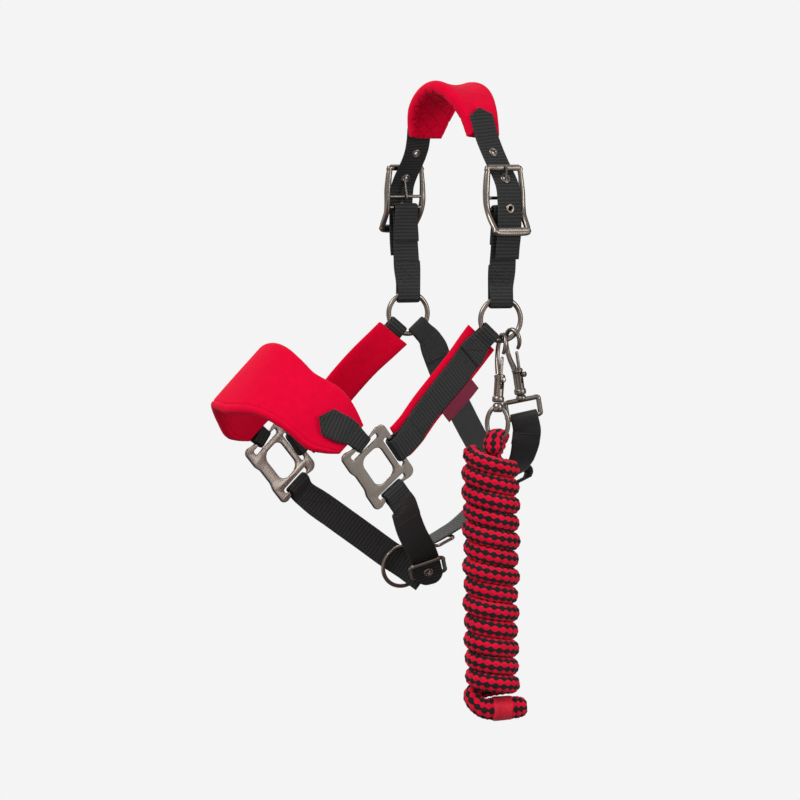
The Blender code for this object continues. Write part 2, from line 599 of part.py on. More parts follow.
# Jaw strap: from the chin back to the throat strap, which passes through its end loop.
at, along, side, face = throat.frame(98.0)
side = side if side.y > 0 else -side
jaw = Run([(2, -38, -404.5), (4, -25.8, -400.6), (5, -8.2, -392.6), (6, 4.5, -385.4), (8, 22, -370.5),
           at - side * 25.0, at - side * 14.4],
          [(0, 0.3, -0.95), (0, 0.38, -0.92), (0, 0.45, -0.89), (0, 0.52, -0.85), (0.02, 0.58, -0.81),
           face, face])
strap("jaw_strap", jaw, None, fold(4.7, 30, True, 28.6), step=12)

# Jaw slide: a small wire frame under the jaw strap near the chin.
loop = []
fore, back = jaw.frame(9.0), jaw.frame(27.0)
corners = [fore[0] + fore[3] * 3.0 - fore[2] * 15.5, fore[0] + fore[3] * 3.0 + fore[2] * 15.5,
           back[0] + back[3] * 3.0 + back[2] * 15.5, back[0] + back[3] * 3.0 - back[2] * 15.5]
for k in range(4):
    a, b = corners[k], corners[(k + 1) % 4]
    loop += [a.lerp(b, 0.16), a.lerp(b, 0.84)]
wire("jaw_slide", loop, 1.5, closed=True, sides=1)
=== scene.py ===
"""A padded webbing headcollar for a horse, shaped as worn, with a rope lead clipped on and hanked up.

Lengths are in millimetres and become metres in MM. The origin is under the crown pad; -Y is the way the
horse faces, +X is its near side, +Z is up.
"""

import bisect
import math

import bmesh
import bpy
import numpy as np
from mathutils import Matrix, Vector


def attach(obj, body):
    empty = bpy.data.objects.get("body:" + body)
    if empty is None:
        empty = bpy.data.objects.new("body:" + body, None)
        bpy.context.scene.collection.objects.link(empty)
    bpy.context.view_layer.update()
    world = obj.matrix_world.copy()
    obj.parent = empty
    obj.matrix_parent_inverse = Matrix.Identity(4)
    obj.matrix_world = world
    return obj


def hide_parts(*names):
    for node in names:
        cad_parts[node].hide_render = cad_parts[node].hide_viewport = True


MM = 0.001
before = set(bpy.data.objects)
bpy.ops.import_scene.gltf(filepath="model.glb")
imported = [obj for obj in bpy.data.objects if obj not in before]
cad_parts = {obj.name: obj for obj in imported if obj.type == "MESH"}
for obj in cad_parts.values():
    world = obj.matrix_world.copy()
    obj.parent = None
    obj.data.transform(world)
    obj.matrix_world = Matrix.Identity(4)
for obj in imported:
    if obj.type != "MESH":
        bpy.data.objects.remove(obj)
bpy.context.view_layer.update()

# ---------------------------------------------------------------------------------------------------------
# Studio: the headcollar hangs in a pale, evenly lit room, as on a hidden hook, seen a little from above and
# from its near side. The floor and the backdrop are the same off-white paper.
CAMERA_AWAY = 3.02
ROOM_RADIUS = 8.0
FLOOR_AT = -0.72


def placed(name, data):
    """A new object of this data, linked into the scene."""
    obj = bpy.data.objects.new(name, data)
    bpy.context.scene.collection.objects.link(obj)
    return obj


azimuth, elevation = math.radians(56.0), math.radians(4.1)
backward = Vector((math.sin(azimuth) * math.cos(elevation), -math.cos(azimuth) * math.cos(elevation),
                   math.sin(elevation)))
rightward = Vector((math.cos(azimuth), math.sin(azimuth), 0.0))
looked_at = Vector((0.0, -0.059, -0.272))
camera = placed("camera", bpy.data.cameras.new("camera"))
camera.location = looked_at + backward * CAMERA_AWAY
camera.rotation_mode = "QUATERNION"
camera.rotation_quaternion = (-backward).to_track_quat("-Z", "Y")
camera.data.lens = 149.67
camera.data.sensor_width = 36.0
bpy.context.scene.camera = camera
bpy.context.scene.view_settings.view_transform = "Standard"

paper = bpy.data.materials.new("backdrop_paper")
paper.use_nodes = True
paper.node_tree.nodes.clear()
paper_glow = paper.node_tree.nodes.new("ShaderNodeEmission")
paper_glow.inputs["Color"].default_value = (0.905, 0.905, 0.905, 1.0)
paper_out = paper.node_tree.nodes.new("ShaderNodeOutputMaterial")
paper.node_tree.links.new(paper_glow.outputs[0], paper_out.inputs["Surface"])
for stage_name in ("floor", "backdrop"):
    stage_mesh = bpy.data.meshes.new(stage_name)
    stage_form = bmesh.new()
    if stage_name == "floor":
        bmesh.ops.create_circle(stage_form, cap_ends=True, segments=96, radius=ROOM_RADIUS - 0.1)
        bmesh.ops.translate(stage_form, verts=stage_form.verts, vec=(0, 0, FLOOR_AT))
    else:
        bmesh.ops.create_uvsphere(stage_form, u_segments=64, v_segments=32, radius=ROOM_RADIUS)
    stage_form.to_mesh(stage_mesh)
    stage_form.free()
    stage = placed(stage_name, stage_mesh)
    stage_mesh.materials.append(paper)
    stage.visible_diffuse = False
    stage.visible_glossy = False
    stage.visible_shadow = False
    stage.visible_transmission = False

room = bpy.data.worlds.new("room")
room.use_nodes = True
room_nodes, room_links = room.node_tree.nodes, room.node_tree.links
room_way = room_nodes.new("ShaderNodeTexCoord")
room_dot = room_nodes.new("ShaderNodeVectorMath")
room_dot.operation = "DOT_PRODUCT"
room_dot.inputs[1].default_value = (backward * 0.35 - rightward * 0.55 + Vector((0, 0, 0.76))).normalized()
room_band = room_nodes.new("ShaderNodeValToRGB")
for place, glow in ((0.30, 0.10), (0.48, 0.16), (0.56, 0.62), (0.68, 0.85), (0.76, 0.30), (0.9, 0.55)):
    stop = room_band.color_ramp.elements.new(place)
    stop.color = (glow, glow * 0.985, glow * 0.96, 1.0)
room_band.color_ramp.elements[0].color = (0.22, 0.22, 0.22, 1.0)
room_band.color_ramp.elements[-1].color = (0.7, 0.7, 0.7, 1.0)
room_half = room_nodes.new("ShaderNodeMath")
room_half.operation = "MULTIPLY_ADD"
room_half.inputs[1].default_value = 0.5
room_half.inputs[2].default_value = 0.5
room_links.new(room_way.outputs["Generated"], room_dot.inputs[0])
room_links.new(room_dot.outputs["Value"], room_half.inputs[0])
room_links.new(room_half.outputs[0], room_band.inputs[0])
room_links.new(room_band.outputs[0], room_nodes["Background"].inputs["Color"])
room_nodes["Background"].inputs["Strength"].default_value = 1.0
bpy.context.scene.world = room
for lamp_name, lamp_way, lamp_size, lamp_power in (
        ("key_softbox", backward * 1.6 - rightward * 1.3 + Vector((0, 0, 1.6)), 1.3, 34.0),
        ("fill_softbox", backward * 1.2 + rightward * 1.9 + Vector((0, 0, 0.5)), 0.9, 15.0),
        ("side_card", Vector((1.68, 1.04, -0.42)), 1.3, 4.0),
        ("back_softbox", -backward * 1.7 - rightward * 0.6 + Vector((0, 0, 1.3)), 1.2, 16.0)):
    lamp = placed(lamp_name, bpy.data.lights.new(lamp_name, "AREA"))
    lamp.data.shape = "SQUARE"
    lamp.data.size = lamp_size
    lamp.data.energy = lamp_power
    lamp.location = looked_at + lamp_way
    lamp.rotation_mode = "QUATERNION"
    lamp.rotation_quaternion = lamp_way.to_track_quat("Z", "Y")
    lamp.visible_camera = False


# ---------------------------------------------------------------------------------------------------------
# Rope lead: one soft braided rope of about two metres, red and black strands crossing so that the colours
# run in rows. It is threaded through the snap's eye, doubled down the middle of the hank, wrapped round
# itself from the top, and ends in a bound stub below.
def spline_point(a, b, c, d, t):
    """The point at share t of the way from b to c, on a smooth curve that also passes a and d."""
    return 0.5 * (2 * b + (c - a) * t + (2 * a - 5 * b + 4 * c - d) * t * t
                  + (3 * b - 3 * c + d - a) * t ** 3)


def distances(line):
    """How far along a line each of its points lies."""
    return np.concatenate([[0], np.cumsum(np.linalg.norm(np.diff(line, axis=0), axis=1))])


def unit_rows(v):
    """Each vector of an array at length one."""
    return v / np.linalg.norm(v, axis=-1)[..., None]


def smooth_line(points, spacing, closed=False):
    """Points every spacing along a smooth curve through the given ones."""
    p = np.array([tuple(v) for v in points], float)
    p = np.vstack([p[-1:], p, p[:2]]) if closed else np.vstack([2 * p[0] - p[1], p, 2 * p[-1] - p[-2]])
    t = np.linspace(0, 1, 24, endpoint=False)[:, None]
    fine = np.vstack([spline_point(*p[i - 1:i + 3], t) for i in range(1, len(p) - 2)] + [p[-2:-1]])
    far = distances(fine)
    count = max(3, round(far[-1] / spacing))
    wanted = np.linspace(0, far[-1], count + 1)
    if closed:
        wanted = wanted[:-1]
    return np.stack([np.interp(wanted, far, fine[:, k]) for k in range(3)], axis=1)


def along_frames(line, closed=False):
    """A tangent and two steady cross directions at each point of a line."""
    if closed:
        tangent = np.roll(line, -1, 0) - np.roll(line, 1, 0)
    else:
        tangent = np.gradient(line, axis=0)
    tangent = unit_rows(tangent)
    first = np.cross(tangent[0], (0.3, 0.2, 0.93))
    u = first / np.linalg.norm(first)
    us = []
    for t in tangent:
        u = u - t * np.dot(u, t)
        u = u / np.linalg.norm(u)
        us.append(u)
    us = np.array(us)
    if closed:
        v0 = np.cross(tangent[0], us[0])
        last = us[-1] - tangent[0] * np.dot(us[-1], tangent[0])
        slip = math.atan2(np.dot(last, v0), np.dot(last, us[0]))
        vs = np.cross(tangent, us)
        turn = -slip * np.arange(len(line))[:, None] / len(line)
        us = us * np.cos(turn) + vs * np.sin(turn)
    return tangent, us, np.cross(tangent, us)


def made(name, points, faces, finish, uv=None, uv_name="cloth"):
    """A mesh object of one closed skin, faces outwards. uv gives one pair for each face corner."""
    points = np.asarray(points, float)
    rows = [list(f) for f in faces]
    volume = 0.0
    for f in rows:
        a = points[f[0]]
        for k in range(1, len(f) - 1):
            volume += np.dot(a, np.cross(points[f[k]], points[f[k + 1]]))
    if volume < 0:
        rows = [f[::-1] for f in rows]
        uv = None if uv is None else [c[::-1] for c in uv]
    mesh = bpy.data.meshes.new(name)
    mesh.from_pydata((points * MM).tolist(), [], rows)
    if uv is not None:
        layer = mesh.uv_layers.new(name=uv_name)
        layer.data.foreach_set("uv", np.array([c for f in uv for c in f], np.float32).ravel())
    mesh.update()
    mesh.shade_smooth()
    mesh.materials.append(finish.material)
    return placed(name, mesh)


def tube_faces(rings, sides, closed=False, across=None, lengths=None):
    """Faces and UVs of a tube of rings, its ends filled when it isn't closed; UVs only for an open tube."""
    faces, uvs = [], []
    for i in range(rings if closed else rings - 1):
        j = (i + 1) % rings
        for k in range(sides):
            m = (k + 1) % sides
            faces.append((i * sides + k, i * sides + m, j * sides + m, j * sides + k))
            if across is not None:
                a, b, low, top = across[k], across[k + 1], lengths[i], lengths[i + 1]
                uvs.append(((a, low), (b, low), (b, top), (a, top)))
    if not closed:
        for ring in (0, rings - 1):
            cap = range(sides - 1, -1, -1) if ring == 0 else range(sides)
            faces.append(tuple(ring * sides + k for k in cap))
            if across is not None:
                uvs.append(tuple((across[k], lengths[ring]) for k in cap))
    return faces, uvs if across is not None else None


class Finish:
    """A material, with the node calls that build its look. A value is a number, a colour or an output."""

    def __init__(self, name, rough=0.5, metal=0.0, sheen=0.0, sheen_rough=0.5, spec=0.5):
        self.material = bpy.data.materials.new(name)
        self.material.use_nodes = True
        self.nodes, self.links = self.material.node_tree.nodes, self.material.node_tree.links
        self.bsdf = self.nodes["Principled BSDF"]
        for socket, value in (("Roughness", rough), ("Metallic", metal), ("Sheen Weight", sheen),
                              ("Sheen Roughness", sheen_rough), ("Specular IOR Level", spec)):
            self.bsdf.inputs[socket].default_value = value

    def feed(self, value, socket):
        if isinstance(value, tuple):
            socket.default_value = (*value, 1.0)
        elif isinstance(value, (int, float)):
            socket.default_value = value
        else:
            self.links.new(value, socket)

    def maths(self, operation, *values):
        node = self.nodes.new("ShaderNodeMath")
        node.operation = operation
        for value, socket in zip(values, node.inputs):
            self.feed(value, socket)
        return node.outputs[0]

    def mix(self, factor, first, second, blend="MIX"):
        node = self.nodes.new("ShaderNodeMix")
        node.data_type = "RGBA"
        node.blend_type = blend
        for value, place in ((factor, 0), (first, 6), (second, 7)):
            self.feed(value, node.inputs[place])
        return node.outputs[2]

    def speckle(self, scale, detail=2.0):
        place = self.nodes.new("ShaderNodeTexCoord")
        noise = self.nodes.new("ShaderNodeTexNoise")
        noise.inputs["Scale"].default_value = scale
        noise.inputs["Detail"].default_value = detail
        self.links.new(place.outputs["Object"], noise.inputs["Vector"])
        return noise.outputs["Fac"]

    def uv(self, name):
        """The two coordinates of a UV map, across the piece and along it."""
        where = self.nodes.new("ShaderNodeUVMap")
        where.uv_map = name
        parts = self.nodes.new("ShaderNodeSeparateXYZ")
        self.links.new(where.outputs[0], parts.inputs[0])
        return parts.outputs[0], parts.outputs[1]

    def colour(self, value):
        self.feed(value, self.bsdf.inputs["Base Color"])

    def bump(self, height, strength, distance):
        node = self.nodes.new("ShaderNodeBump")
        node.inputs["Strength"].default_value = strength
        node.inputs["Distance"].default_value = distance
        self.feed(height, node.inputs["Height"])
        self.feed(node.outputs[0], self.bsdf.inputs["Normal"])


def declare(obj, slot, *nodes_replaced, body="headcollar"):
    """Puts a piece on its body, in place of the named nodes; slot is not used."""
    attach(obj, body)
    if nodes_replaced:
        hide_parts(*nodes_replaced)
    return obj


ROPE_THICK = 16.4
toward = np.array([0.829, -0.559, 0.0])
right = np.array([0.559, 0.829, 0.0])
up = np.array([0.0, 0.0, 1.0])
hank_axis = np.array([82.0, -16.7, 0.0])
EYE_CENTRE = np.array((80.0, -7.4, -290.4))
EYE_TALL = 15.0
EYE_WIRE = 2.1
eye_top = EYE_CENTRE + up * (0.35 + 3.9 + EYE_WIRE - EYE_TALL)
route = [eye_top + toward * 10.0 - up * 17.0 - right * 4.0, eye_top + toward * 9.2 - up * 8.0 - right * 4.0]
for turn in np.linspace(0.25, math.pi, 5):
    lean = np.interp(turn, [0.25, math.pi], [-3.2, 3.2])
    route.append(eye_top + toward * 7.6 * math.cos(turn) + up * 3.6 * (math.sin(turn) - 1) + right * lean)
route += [eye_top - toward * 8.0 - up * 10.0, hank_axis - toward * 5.0 - up * 325.0]
route += [hank_axis + right * 1.0 - toward * 4.6 - up * z for z in (360, 400, 440, 480, 512)]
route += [hank_axis + right * 2.0 - up * 521.0]
route += [hank_axis + right * 1.0 + toward * 4.6 - up * z for z in (512, 480, 440, 400, 360, 336)]
WRAPS = 12.6
for step in range(int(WRAPS * 16) + 1):
    turn = 2 * math.pi * step / 16
    share = step / (WRAPS * 16)
    radius = 18.2 - 2.2 * share - 3.0 * max(0, 1 - step / 5)
    radius += 0.9 * math.sin(3.1 * step / 16 + 1.0) * math.sin(math.pi * share)
    sway = right * (-0.9 + 3.6 * share + 0.8 * math.sin(5.3 * share + 0.6))
    height = -320.5 - 207.0 * share + (3.2 * (1 - share) - 0.6) * math.cos(turn + 0.3)
    route.append(hank_axis + sway - right * radius * math.cos(turn) + toward * radius * math.sin(turn)
                 + up * height)
route += [hank_axis + right * x + toward * y + up * z for x, y, z in
          ((-4.5, -12, -531.0), (-15.0, -6, -535.0), (-13.0, 1.0, -541.5), (-5.5, 3.5, -546.5),
           (5, 3.0, -547.0), (16, 1.0, -546.5), (26, 0.0, -546.0), (33.5, 0.0, -545.5))]
rope_line = smooth_line(route, 1.12)
rope_run = distances(rope_line)
rope_length = rope_run[-1]

# The braid: twelve rows round the rope, red and black by turns; each crossing is a small plump stitch that
# swells into the dip between the stitches of the rows beside it.
_, rope_u, rope_v = along_frames(rope_line)
SIDES = 48
ROWS = 12
PITCH = 2.75
WAVE = 0.24
rows_at = (np.arange(SIDES) * ROWS / SIDES)[None, :] + 0.0 * rope_run[:, None]
runs_at = rope_run[:, None] / PITCH + 0.0 * rows_at
lower = np.floor(rows_at)
wave = WAVE * np.cos(math.pi * (runs_at - lower))
row = np.where(rows_at - lower < 0.5 + wave, lower, lower + 1)
end_on = np.cos(math.pi * (runs_at - row))
side_on = (rows_at - row) / (0.5 + WAVE * end_on)
pillow = np.sqrt(np.clip(1 - 0.9 * side_on ** 2, 0, 1)) * (0.72 + 0.28 * end_on)
to_end = rope_length - rope_run
stub = np.interp(to_end, [0, 1.5, 4, 9, 30, 44, 60], [0.55, 0.86, 1.06, 1.2, 1.26, 1.02, 1.0])
start = np.interp(rope_run, [0, 2, 6], [0.6, 0.9, 1.0])
thick = (ROPE_THICK / 2 - 1.15 + 1.6 * pillow) * (stub * start)[:, None]
angles = 2 * math.pi * np.arange(SIDES) / SIDES
round_rope = (rope_u[:, None, :] * (thick * np.cos(angles))[:, :, None]
              + rope_v[:, None, :] * (thick * np.sin(angles))[:, :, None])
spread = np.interp(rope_run, [0, 8, 14, 34, 44], [1.1, 1.1, 0.95, 0.95, 1.0])
press = np.interp(rope_run, [0, 8, 14, 34, 44], [0.85, 0.7, 0.5, 0.5, 1.0])
sideways = (round_rope @ right)[:, :, None] * right
rope_points = (rope_line[:, None, :] + sideways * spread[:, None, None]
               + (round_rope - sideways) * press[:, None, None]).reshape(-1, 3)
rope_faces, rope_uv = tube_faces(len(rope_line), SIDES, across=np.arange(SIDES + 1) * ROWS / SIDES,
                                 lengths=rope_run / PITCH)

cotton = Finish("braided_cotton", rough=0.9, sheen=0.06, spec=0.15)
row_at, run_at = cotton.uv("braid")
low_row = cotton.maths("FLOOR", row_at)
turn_at = cotton.maths("MULTIPLY", cotton.maths("SUBTRACT", run_at, low_row), math.pi)
edge_at = cotton.maths("MULTIPLY_ADD", cotton.maths("COSINE", turn_at), WAVE, 0.5)
past = cotton.maths("GREATER_THAN", cotton.maths("SUBTRACT", row_at, low_row), edge_at)
odd = cotton.maths("FLOORED_MODULO", cotton.maths("ADD", low_row, past), 2.0)
slanted = cotton.maths("ADD", row_at, cotton.maths("MULTIPLY", run_at, 0.35))
yarn = cotton.maths("SINE", cotton.maths("MULTIPLY", slanted, 2 * math.pi * 4))
fuzz = cotton.speckle(900.0, 3.0)
patchy = cotton.speckle(60.0)
red = cotton.mix(patchy, (0.80, 0.001, 0.030), (1.0, 0.003, 0.056))
black = cotton.mix(patchy, (0.010, 0.011, 0.011), (0.022, 0.024, 0.024))
shade = cotton.maths("MULTIPLY_ADD", yarn, 0.10, cotton.maths("MULTIPLY_ADD", fuzz, 0.4, 0.76))
cotton.colour(cotton.mix(1.0, cotton.mix(odd, red, black), shade, "MULTIPLY"))
cotton.bump(cotton.maths("ADD", yarn, fuzz), 0.5, 0.0004)
rope = declare(made("rope_lead", rope_points, rope_faces, cotton, rope_uv, "braid"), "rope",
               "rope_eye", "rope_hank", "rope_end")

# Binding: thread wound tightly round the rope's end to stop it fraying.
BINDING_THREAD = 0.6
BINDING_STEPS = 14
thread_red = Finish("binding_thread", rough=0.6, sheen=0.2, spec=0.4)
thread_tone = thread_red.speckle(700.0)
thread_red.colour(thread_red.mix(thread_tone, (0.60, 0.002, 0.022), (0.95, 0.004, 0.050)))
thread_red.bump(thread_tone, 0.3, 0.0002)
bound = np.where((to_end < 32) & (to_end > 14))[0]
binding = []
for i in range(bound[0], bound[-1]):
    wide = ROPE_THICK / 2 * stub[i] + 0.35
    for k in range(BINDING_STEPS):
        t = k / BINDING_STEPS
        turn = 2 * math.pi * (i - bound[0] + t)
        centre = rope_line[i] * (1 - t) + rope_line[i + 1] * t
        binding.append(centre + rope_u[i] * wide * math.cos(turn) + rope_v[i] * wide * math.sin(turn))
binding = np.array(binding)
b_out = unit_rows(binding - np.repeat(rope_line[bound[0]:bound[-1]], BINDING_STEPS, axis=0))
b_side = np.cross(unit_rows(np.gradient(binding, axis=0)), b_out)
b_turns = 2 * math.pi * np.arange(6) / 6
b_points = np.stack([binding + (b_out * math.cos(turn) + b_side * math.sin(turn)) * BINDING_THREAD
                     for turn in b_turns], axis=1).reshape(-1, 3)
b_faces, _ = tube_faces(len(binding), len(b_turns))
whipping = declare(made("rope_binding", b_points, b_faces, thread_red), "rope")


# ---------------------------------------------------------------------------------------------------------
# Webbing straps: black nylon tape with raised ribs across it, cut with a hot knife, doubled round the metal
# fittings and sewn. The throat strap is a softer tape without ribs.
WEB_WIDE = 26.0
WEB_THICK = 2.0
RIB_PITCH = 3.2
GAP = 0.35
RING_RADIUS = 19.0
RING_WIRE = 2.3
FAR_DROP = 7.0


def unit(v):
    v = np.asarray(v, float)
    return v / np.linalg.norm(v)


def smooth(x):
    x = min(max(x, 0.0), 1.0)
    return x * x * (3 - 2 * x)


class Run:
    """A smooth line through points, with the way its outer face looks at each of them."""

    def __init__(self, points, looks):
        p = np.array([tuple(v) for v in points], float)
        n = np.array([unit(v) for v in looks])
        p = np.vstack([2 * p[0] - p[1], p, 2 * p[-1] - p[-2]])
        n = np.vstack([n[0], n, n[-1]])
        self.at, self.look = [], []
        for i in range(1, len(p) - 2):
            for k in range(16):
                t = k / 16
                self.at.append(spline_point(*p[i - 1:i + 3], t))
                self.look.append(n[i] + (n[i + 1] - n[i]) * smooth(t))
        self.at.append(p[-2])
        self.look.append(n[-2])
        self.far = [0.0]
        for a, b in zip(self.at, self.at[1:]):
            self.far.append(self.far[-1] + np.linalg.norm(b - a))
        self.length = self.far[-1]

    def frame(self, s):
        """Place, run, side and outer face at s along the line; past an end it runs straight on."""
        inside = min(max(s, 0.0), self.length)
        i = min(max(bisect.bisect_left(self.far, inside) - 1, 0), len(self.far) - 2)
        t = (inside - self.far[i]) / max(self.far[i + 1] - self.far[i], 1e-9)
        place = self.at[i] + (self.at[i + 1] - self.at[i]) * t
        lo, hi = max(i - 2, 0), min(i + 3, len(self.at) - 1)
        along = unit(self.at[hi] - self.at[lo])
        side = unit(np.cross(self.look[i] + (self.look[i + 1] - self.look[i]) * t, along))
        return place + along * (s - inside), along, side, unit(np.cross(along, side))

    def place(self, s, out=0.0, across=0.0):
        at, along, side, face = self.frame(s)
        return at + face * out + side * across


def fold(bar, flap, outer, reach=0.0):
    """The end of a strap doubled round a bar at s = 0, as (s, out) from the sewn flap's end to s = 20."""
    way = 1 if outer else -1
    turn = bar + GAP + WEB_THICK / 2
    path = [(s, way * (turn + (WEB_THICK + 0.1 - turn) * smooth(s / 14)))
            for s in ((flap, (flap + 14) / 2, 14, 9.5, 5) if flap > 15 else (flap, 5))]
    if reach:
        path.append((0, way * turn))
    for k in range(9):
        a = math.pi * k / 8
        path.append((-reach - turn * math.sin(a), way * turn * math.cos(a)))
    if reach:
        path.append((0, -way * turn))
    return path + [(s, -way * turn * (1 - smooth(s / 14))) for s in (5, 9.5, 14)]


def band(name, run, start=None, end=None, cut=(0.0, 0.0), narrow=(0.0, 0.0), tip=0.0, wide=WEB_WIDE,
         thick=WEB_THICK, lift=0.0, round_end=False, rib=0.34, finish=None, puff=22, space=0.8,
         slot="webbing"):
    """One length of tape swept along a run, its rounded section ribbed across."""
    path = list(start) if start else [(cut[0], 0.0)]
    first, last = (14 if start else cut[0]), run.length - (14 if end else cut[1])
    count = max(2, math.ceil((last - first) / 11.0))
    path += [(first + (last - first) * k / count, 0.0) for k in range(1, count)]
    path += [(run.length - s, out) for s, out in reversed(end)] if end else [(last, 0.0)]
    if tip:
        path.insert(0, (cut[0] - tip, 0.0))
    centre = [run.place(s, out + lift) for s, out in path]
    line = smooth_line(centre, space)
    # The run's own measure at each new point, for its width and its side.
    knots, far = distances(centre), distances(line)
    s_at = np.interp(far / far[-1] * knots[-1], knots, [s for s, _ in path])
    sides = np.array([run.frame(s)[2] for s in s_at])
    tangent = unit_rows(np.gradient(line, axis=0))
    sides = unit_rows(sides - tangent * np.sum(sides * tangent, axis=1)[:, None])
    faces_out = np.cross(tangent, sides)
    half = np.array([wide / 2 - narrow[0] * (1 - smooth(s / 26))
                     - narrow[1] * (1 - smooth((run.length - s) / 26)) for s in s_at])
    if tip:
        half = np.where(s_at < cut[0], (wide / 2) * np.clip((s_at - cut[0] + tip) / tip, 0.03, 1), half)
    if round_end:
        half = half * np.sqrt(np.clip(1 - np.clip((s_at - run.length + 11.0) / 11.2, 0, 1) ** 2, 0.02, 1))
    x = np.array([-1, -0.975, -0.92, -0.8, -0.6, -0.4, -0.2, 0, 0.2, 0.4, 0.6, 0.8, 0.92, 0.975])
    x = np.concatenate([x, -x])
    top = np.concatenate([np.ones(14), -np.ones(14)])
    edge = np.sqrt(np.clip(1 - np.abs(x) ** puff, 0, 1))
    ridge = rib * (0.5 + 0.5 * np.cos(2 * math.pi * far / RIB_PITCH)) ** 0.8
    near_end = np.clip(1 - np.minimum(far, far[-1] - far) / (0.45 * thick), 0, 1)
    ends = np.sqrt(np.clip(1 - near_end ** 2, 0.04, 1))
    core = thick / 2 - rib * 0.6
    tall = ((core + ridge[:, None] * (1 - np.abs(x) ** 10)[None, :]) * edge[None, :]) * ends[:, None]
    points = (line[:, None, :] + sides[:, None, :] * (half[:, None] * x[None, :])[:, :, None]
              + faces_out[:, None, :] * (tall * top[None, :])[:, :, None]).reshape(-1, 3)
    across = np.concatenate([(x + 1) * wide / 2 * top + (1 - top) * wide, [2 * wide]])
    faces, uv = tube_faces(len(line), len(x), across=across, lengths=far)
    return declare(made(name + "_tape", points, faces, finish or nylon, uv), slot, name)


stitches = []


def stitch(ends, look, pitch=3.1, lift=0.0):
    """Lays sewing stitches between two points on a surface whose face looks the given way."""
    a, b = np.asarray(ends[0], float), np.asarray(ends[1], float)
    count = max(1, round(np.linalg.norm(b - a) / pitch))
    look = unit(look)
    for k in range(count):
        p, q = a + (b - a) * (k + 0.1) / count, a + (b - a) * (k + 0.9) / count
        stitches.append([p + look * (lift - 0.3), p * 0.8 + q * 0.2 + look * (lift + 0.2),
                         p * 0.2 + q * 0.8 + look * (lift + 0.2), q + look * (lift - 0.3)])


def sewn_box(run, low, high, way=1, half=9.5, layers=2):
    """A box of stitches, with a cross in it, through both layers of a doubled strap."""
    out = way * (WEB_THICK / 2 + (layers - 1) * (WEB_THICK + 0.1))
    look = run.frame((low + high) / 2)[3] * way
    corner = [run.place(s, out, a) for s, a in ((low, -half), (low, half), (high, half), (high, -half))]
    for a, b in ((0, 1), (1, 2), (2, 3), (3, 0), (0, 2), (1, 3)):
        stitch((corner[a], corner[b]), look)


def sew_along(run, low, high, across):
    """A row of stitches following a strap, on its outer face."""
    steps = max(1, round(abs(high - low) / 6.0))
    for k in range(steps):
        a, b = low + (high - low) * k / steps, low + (high - low) * (k + 1) / steps
        stitch([run.place(s, WEB_THICK / 2, across) for s in (a, b)], run.frame(a)[3], 3.0)


def tape_material(name, ribbed):
    finish = Finish(name, rough=0.62, sheen=0.12, sheen_rough=0.35, spec=0.35)
    across, along = finish.uv("cloth")
    warp = finish.maths("SINE", finish.maths("MULTIPLY", across, 2 * math.pi / 1.05))
    pitch = RIB_PITCH if ribbed else 0.9
    # Painted light: a wave along the tape at the rib pitch. It gives a painted highlight on each rib crest
    # and painted shade in the groove between ribs. On the smooth tape it is only a faint fine weft line.
    weft_and_painted_rib_light = finish.maths("COSINE", finish.maths("MULTIPLY", along, 2 * math.pi / pitch))
    fibre = finish.speckle(1100.0, 3.0)
    worn = finish.maths("MULTIPLY", finish.speckle(35.0, 4.0), 0.25)
    level = finish.maths("MULTIPLY_ADD", warp, 0.10, finish.maths("MULTIPLY", fibre, 0.9))
    # The rib wave goes into the colour here: painted highlight on the rib crests and painted shade in the
    # grooves, with the warp lines and random fibre tone.
    level = finish.maths("MULTIPLY_ADD", weft_and_painted_rib_light, 0.42 if ribbed else 0.03, level)
    shade = finish.maths("MULTIPLY_ADD", finish.maths("ADD", level, worn), 0.8, 0.02)
    finish.colour(finish.mix(shade, (0.004, 0.004, 0.0045), (0.036, 0.036, 0.036)))
    finish.bump(finish.maths("ADD", finish.maths("MULTIPLY", warp, 0.5), fibre), 0.55, 0.00025)
    return finish


nylon = tape_material("ribbed_nylon", True)
soft_tape = tape_material("smooth_tape", False)

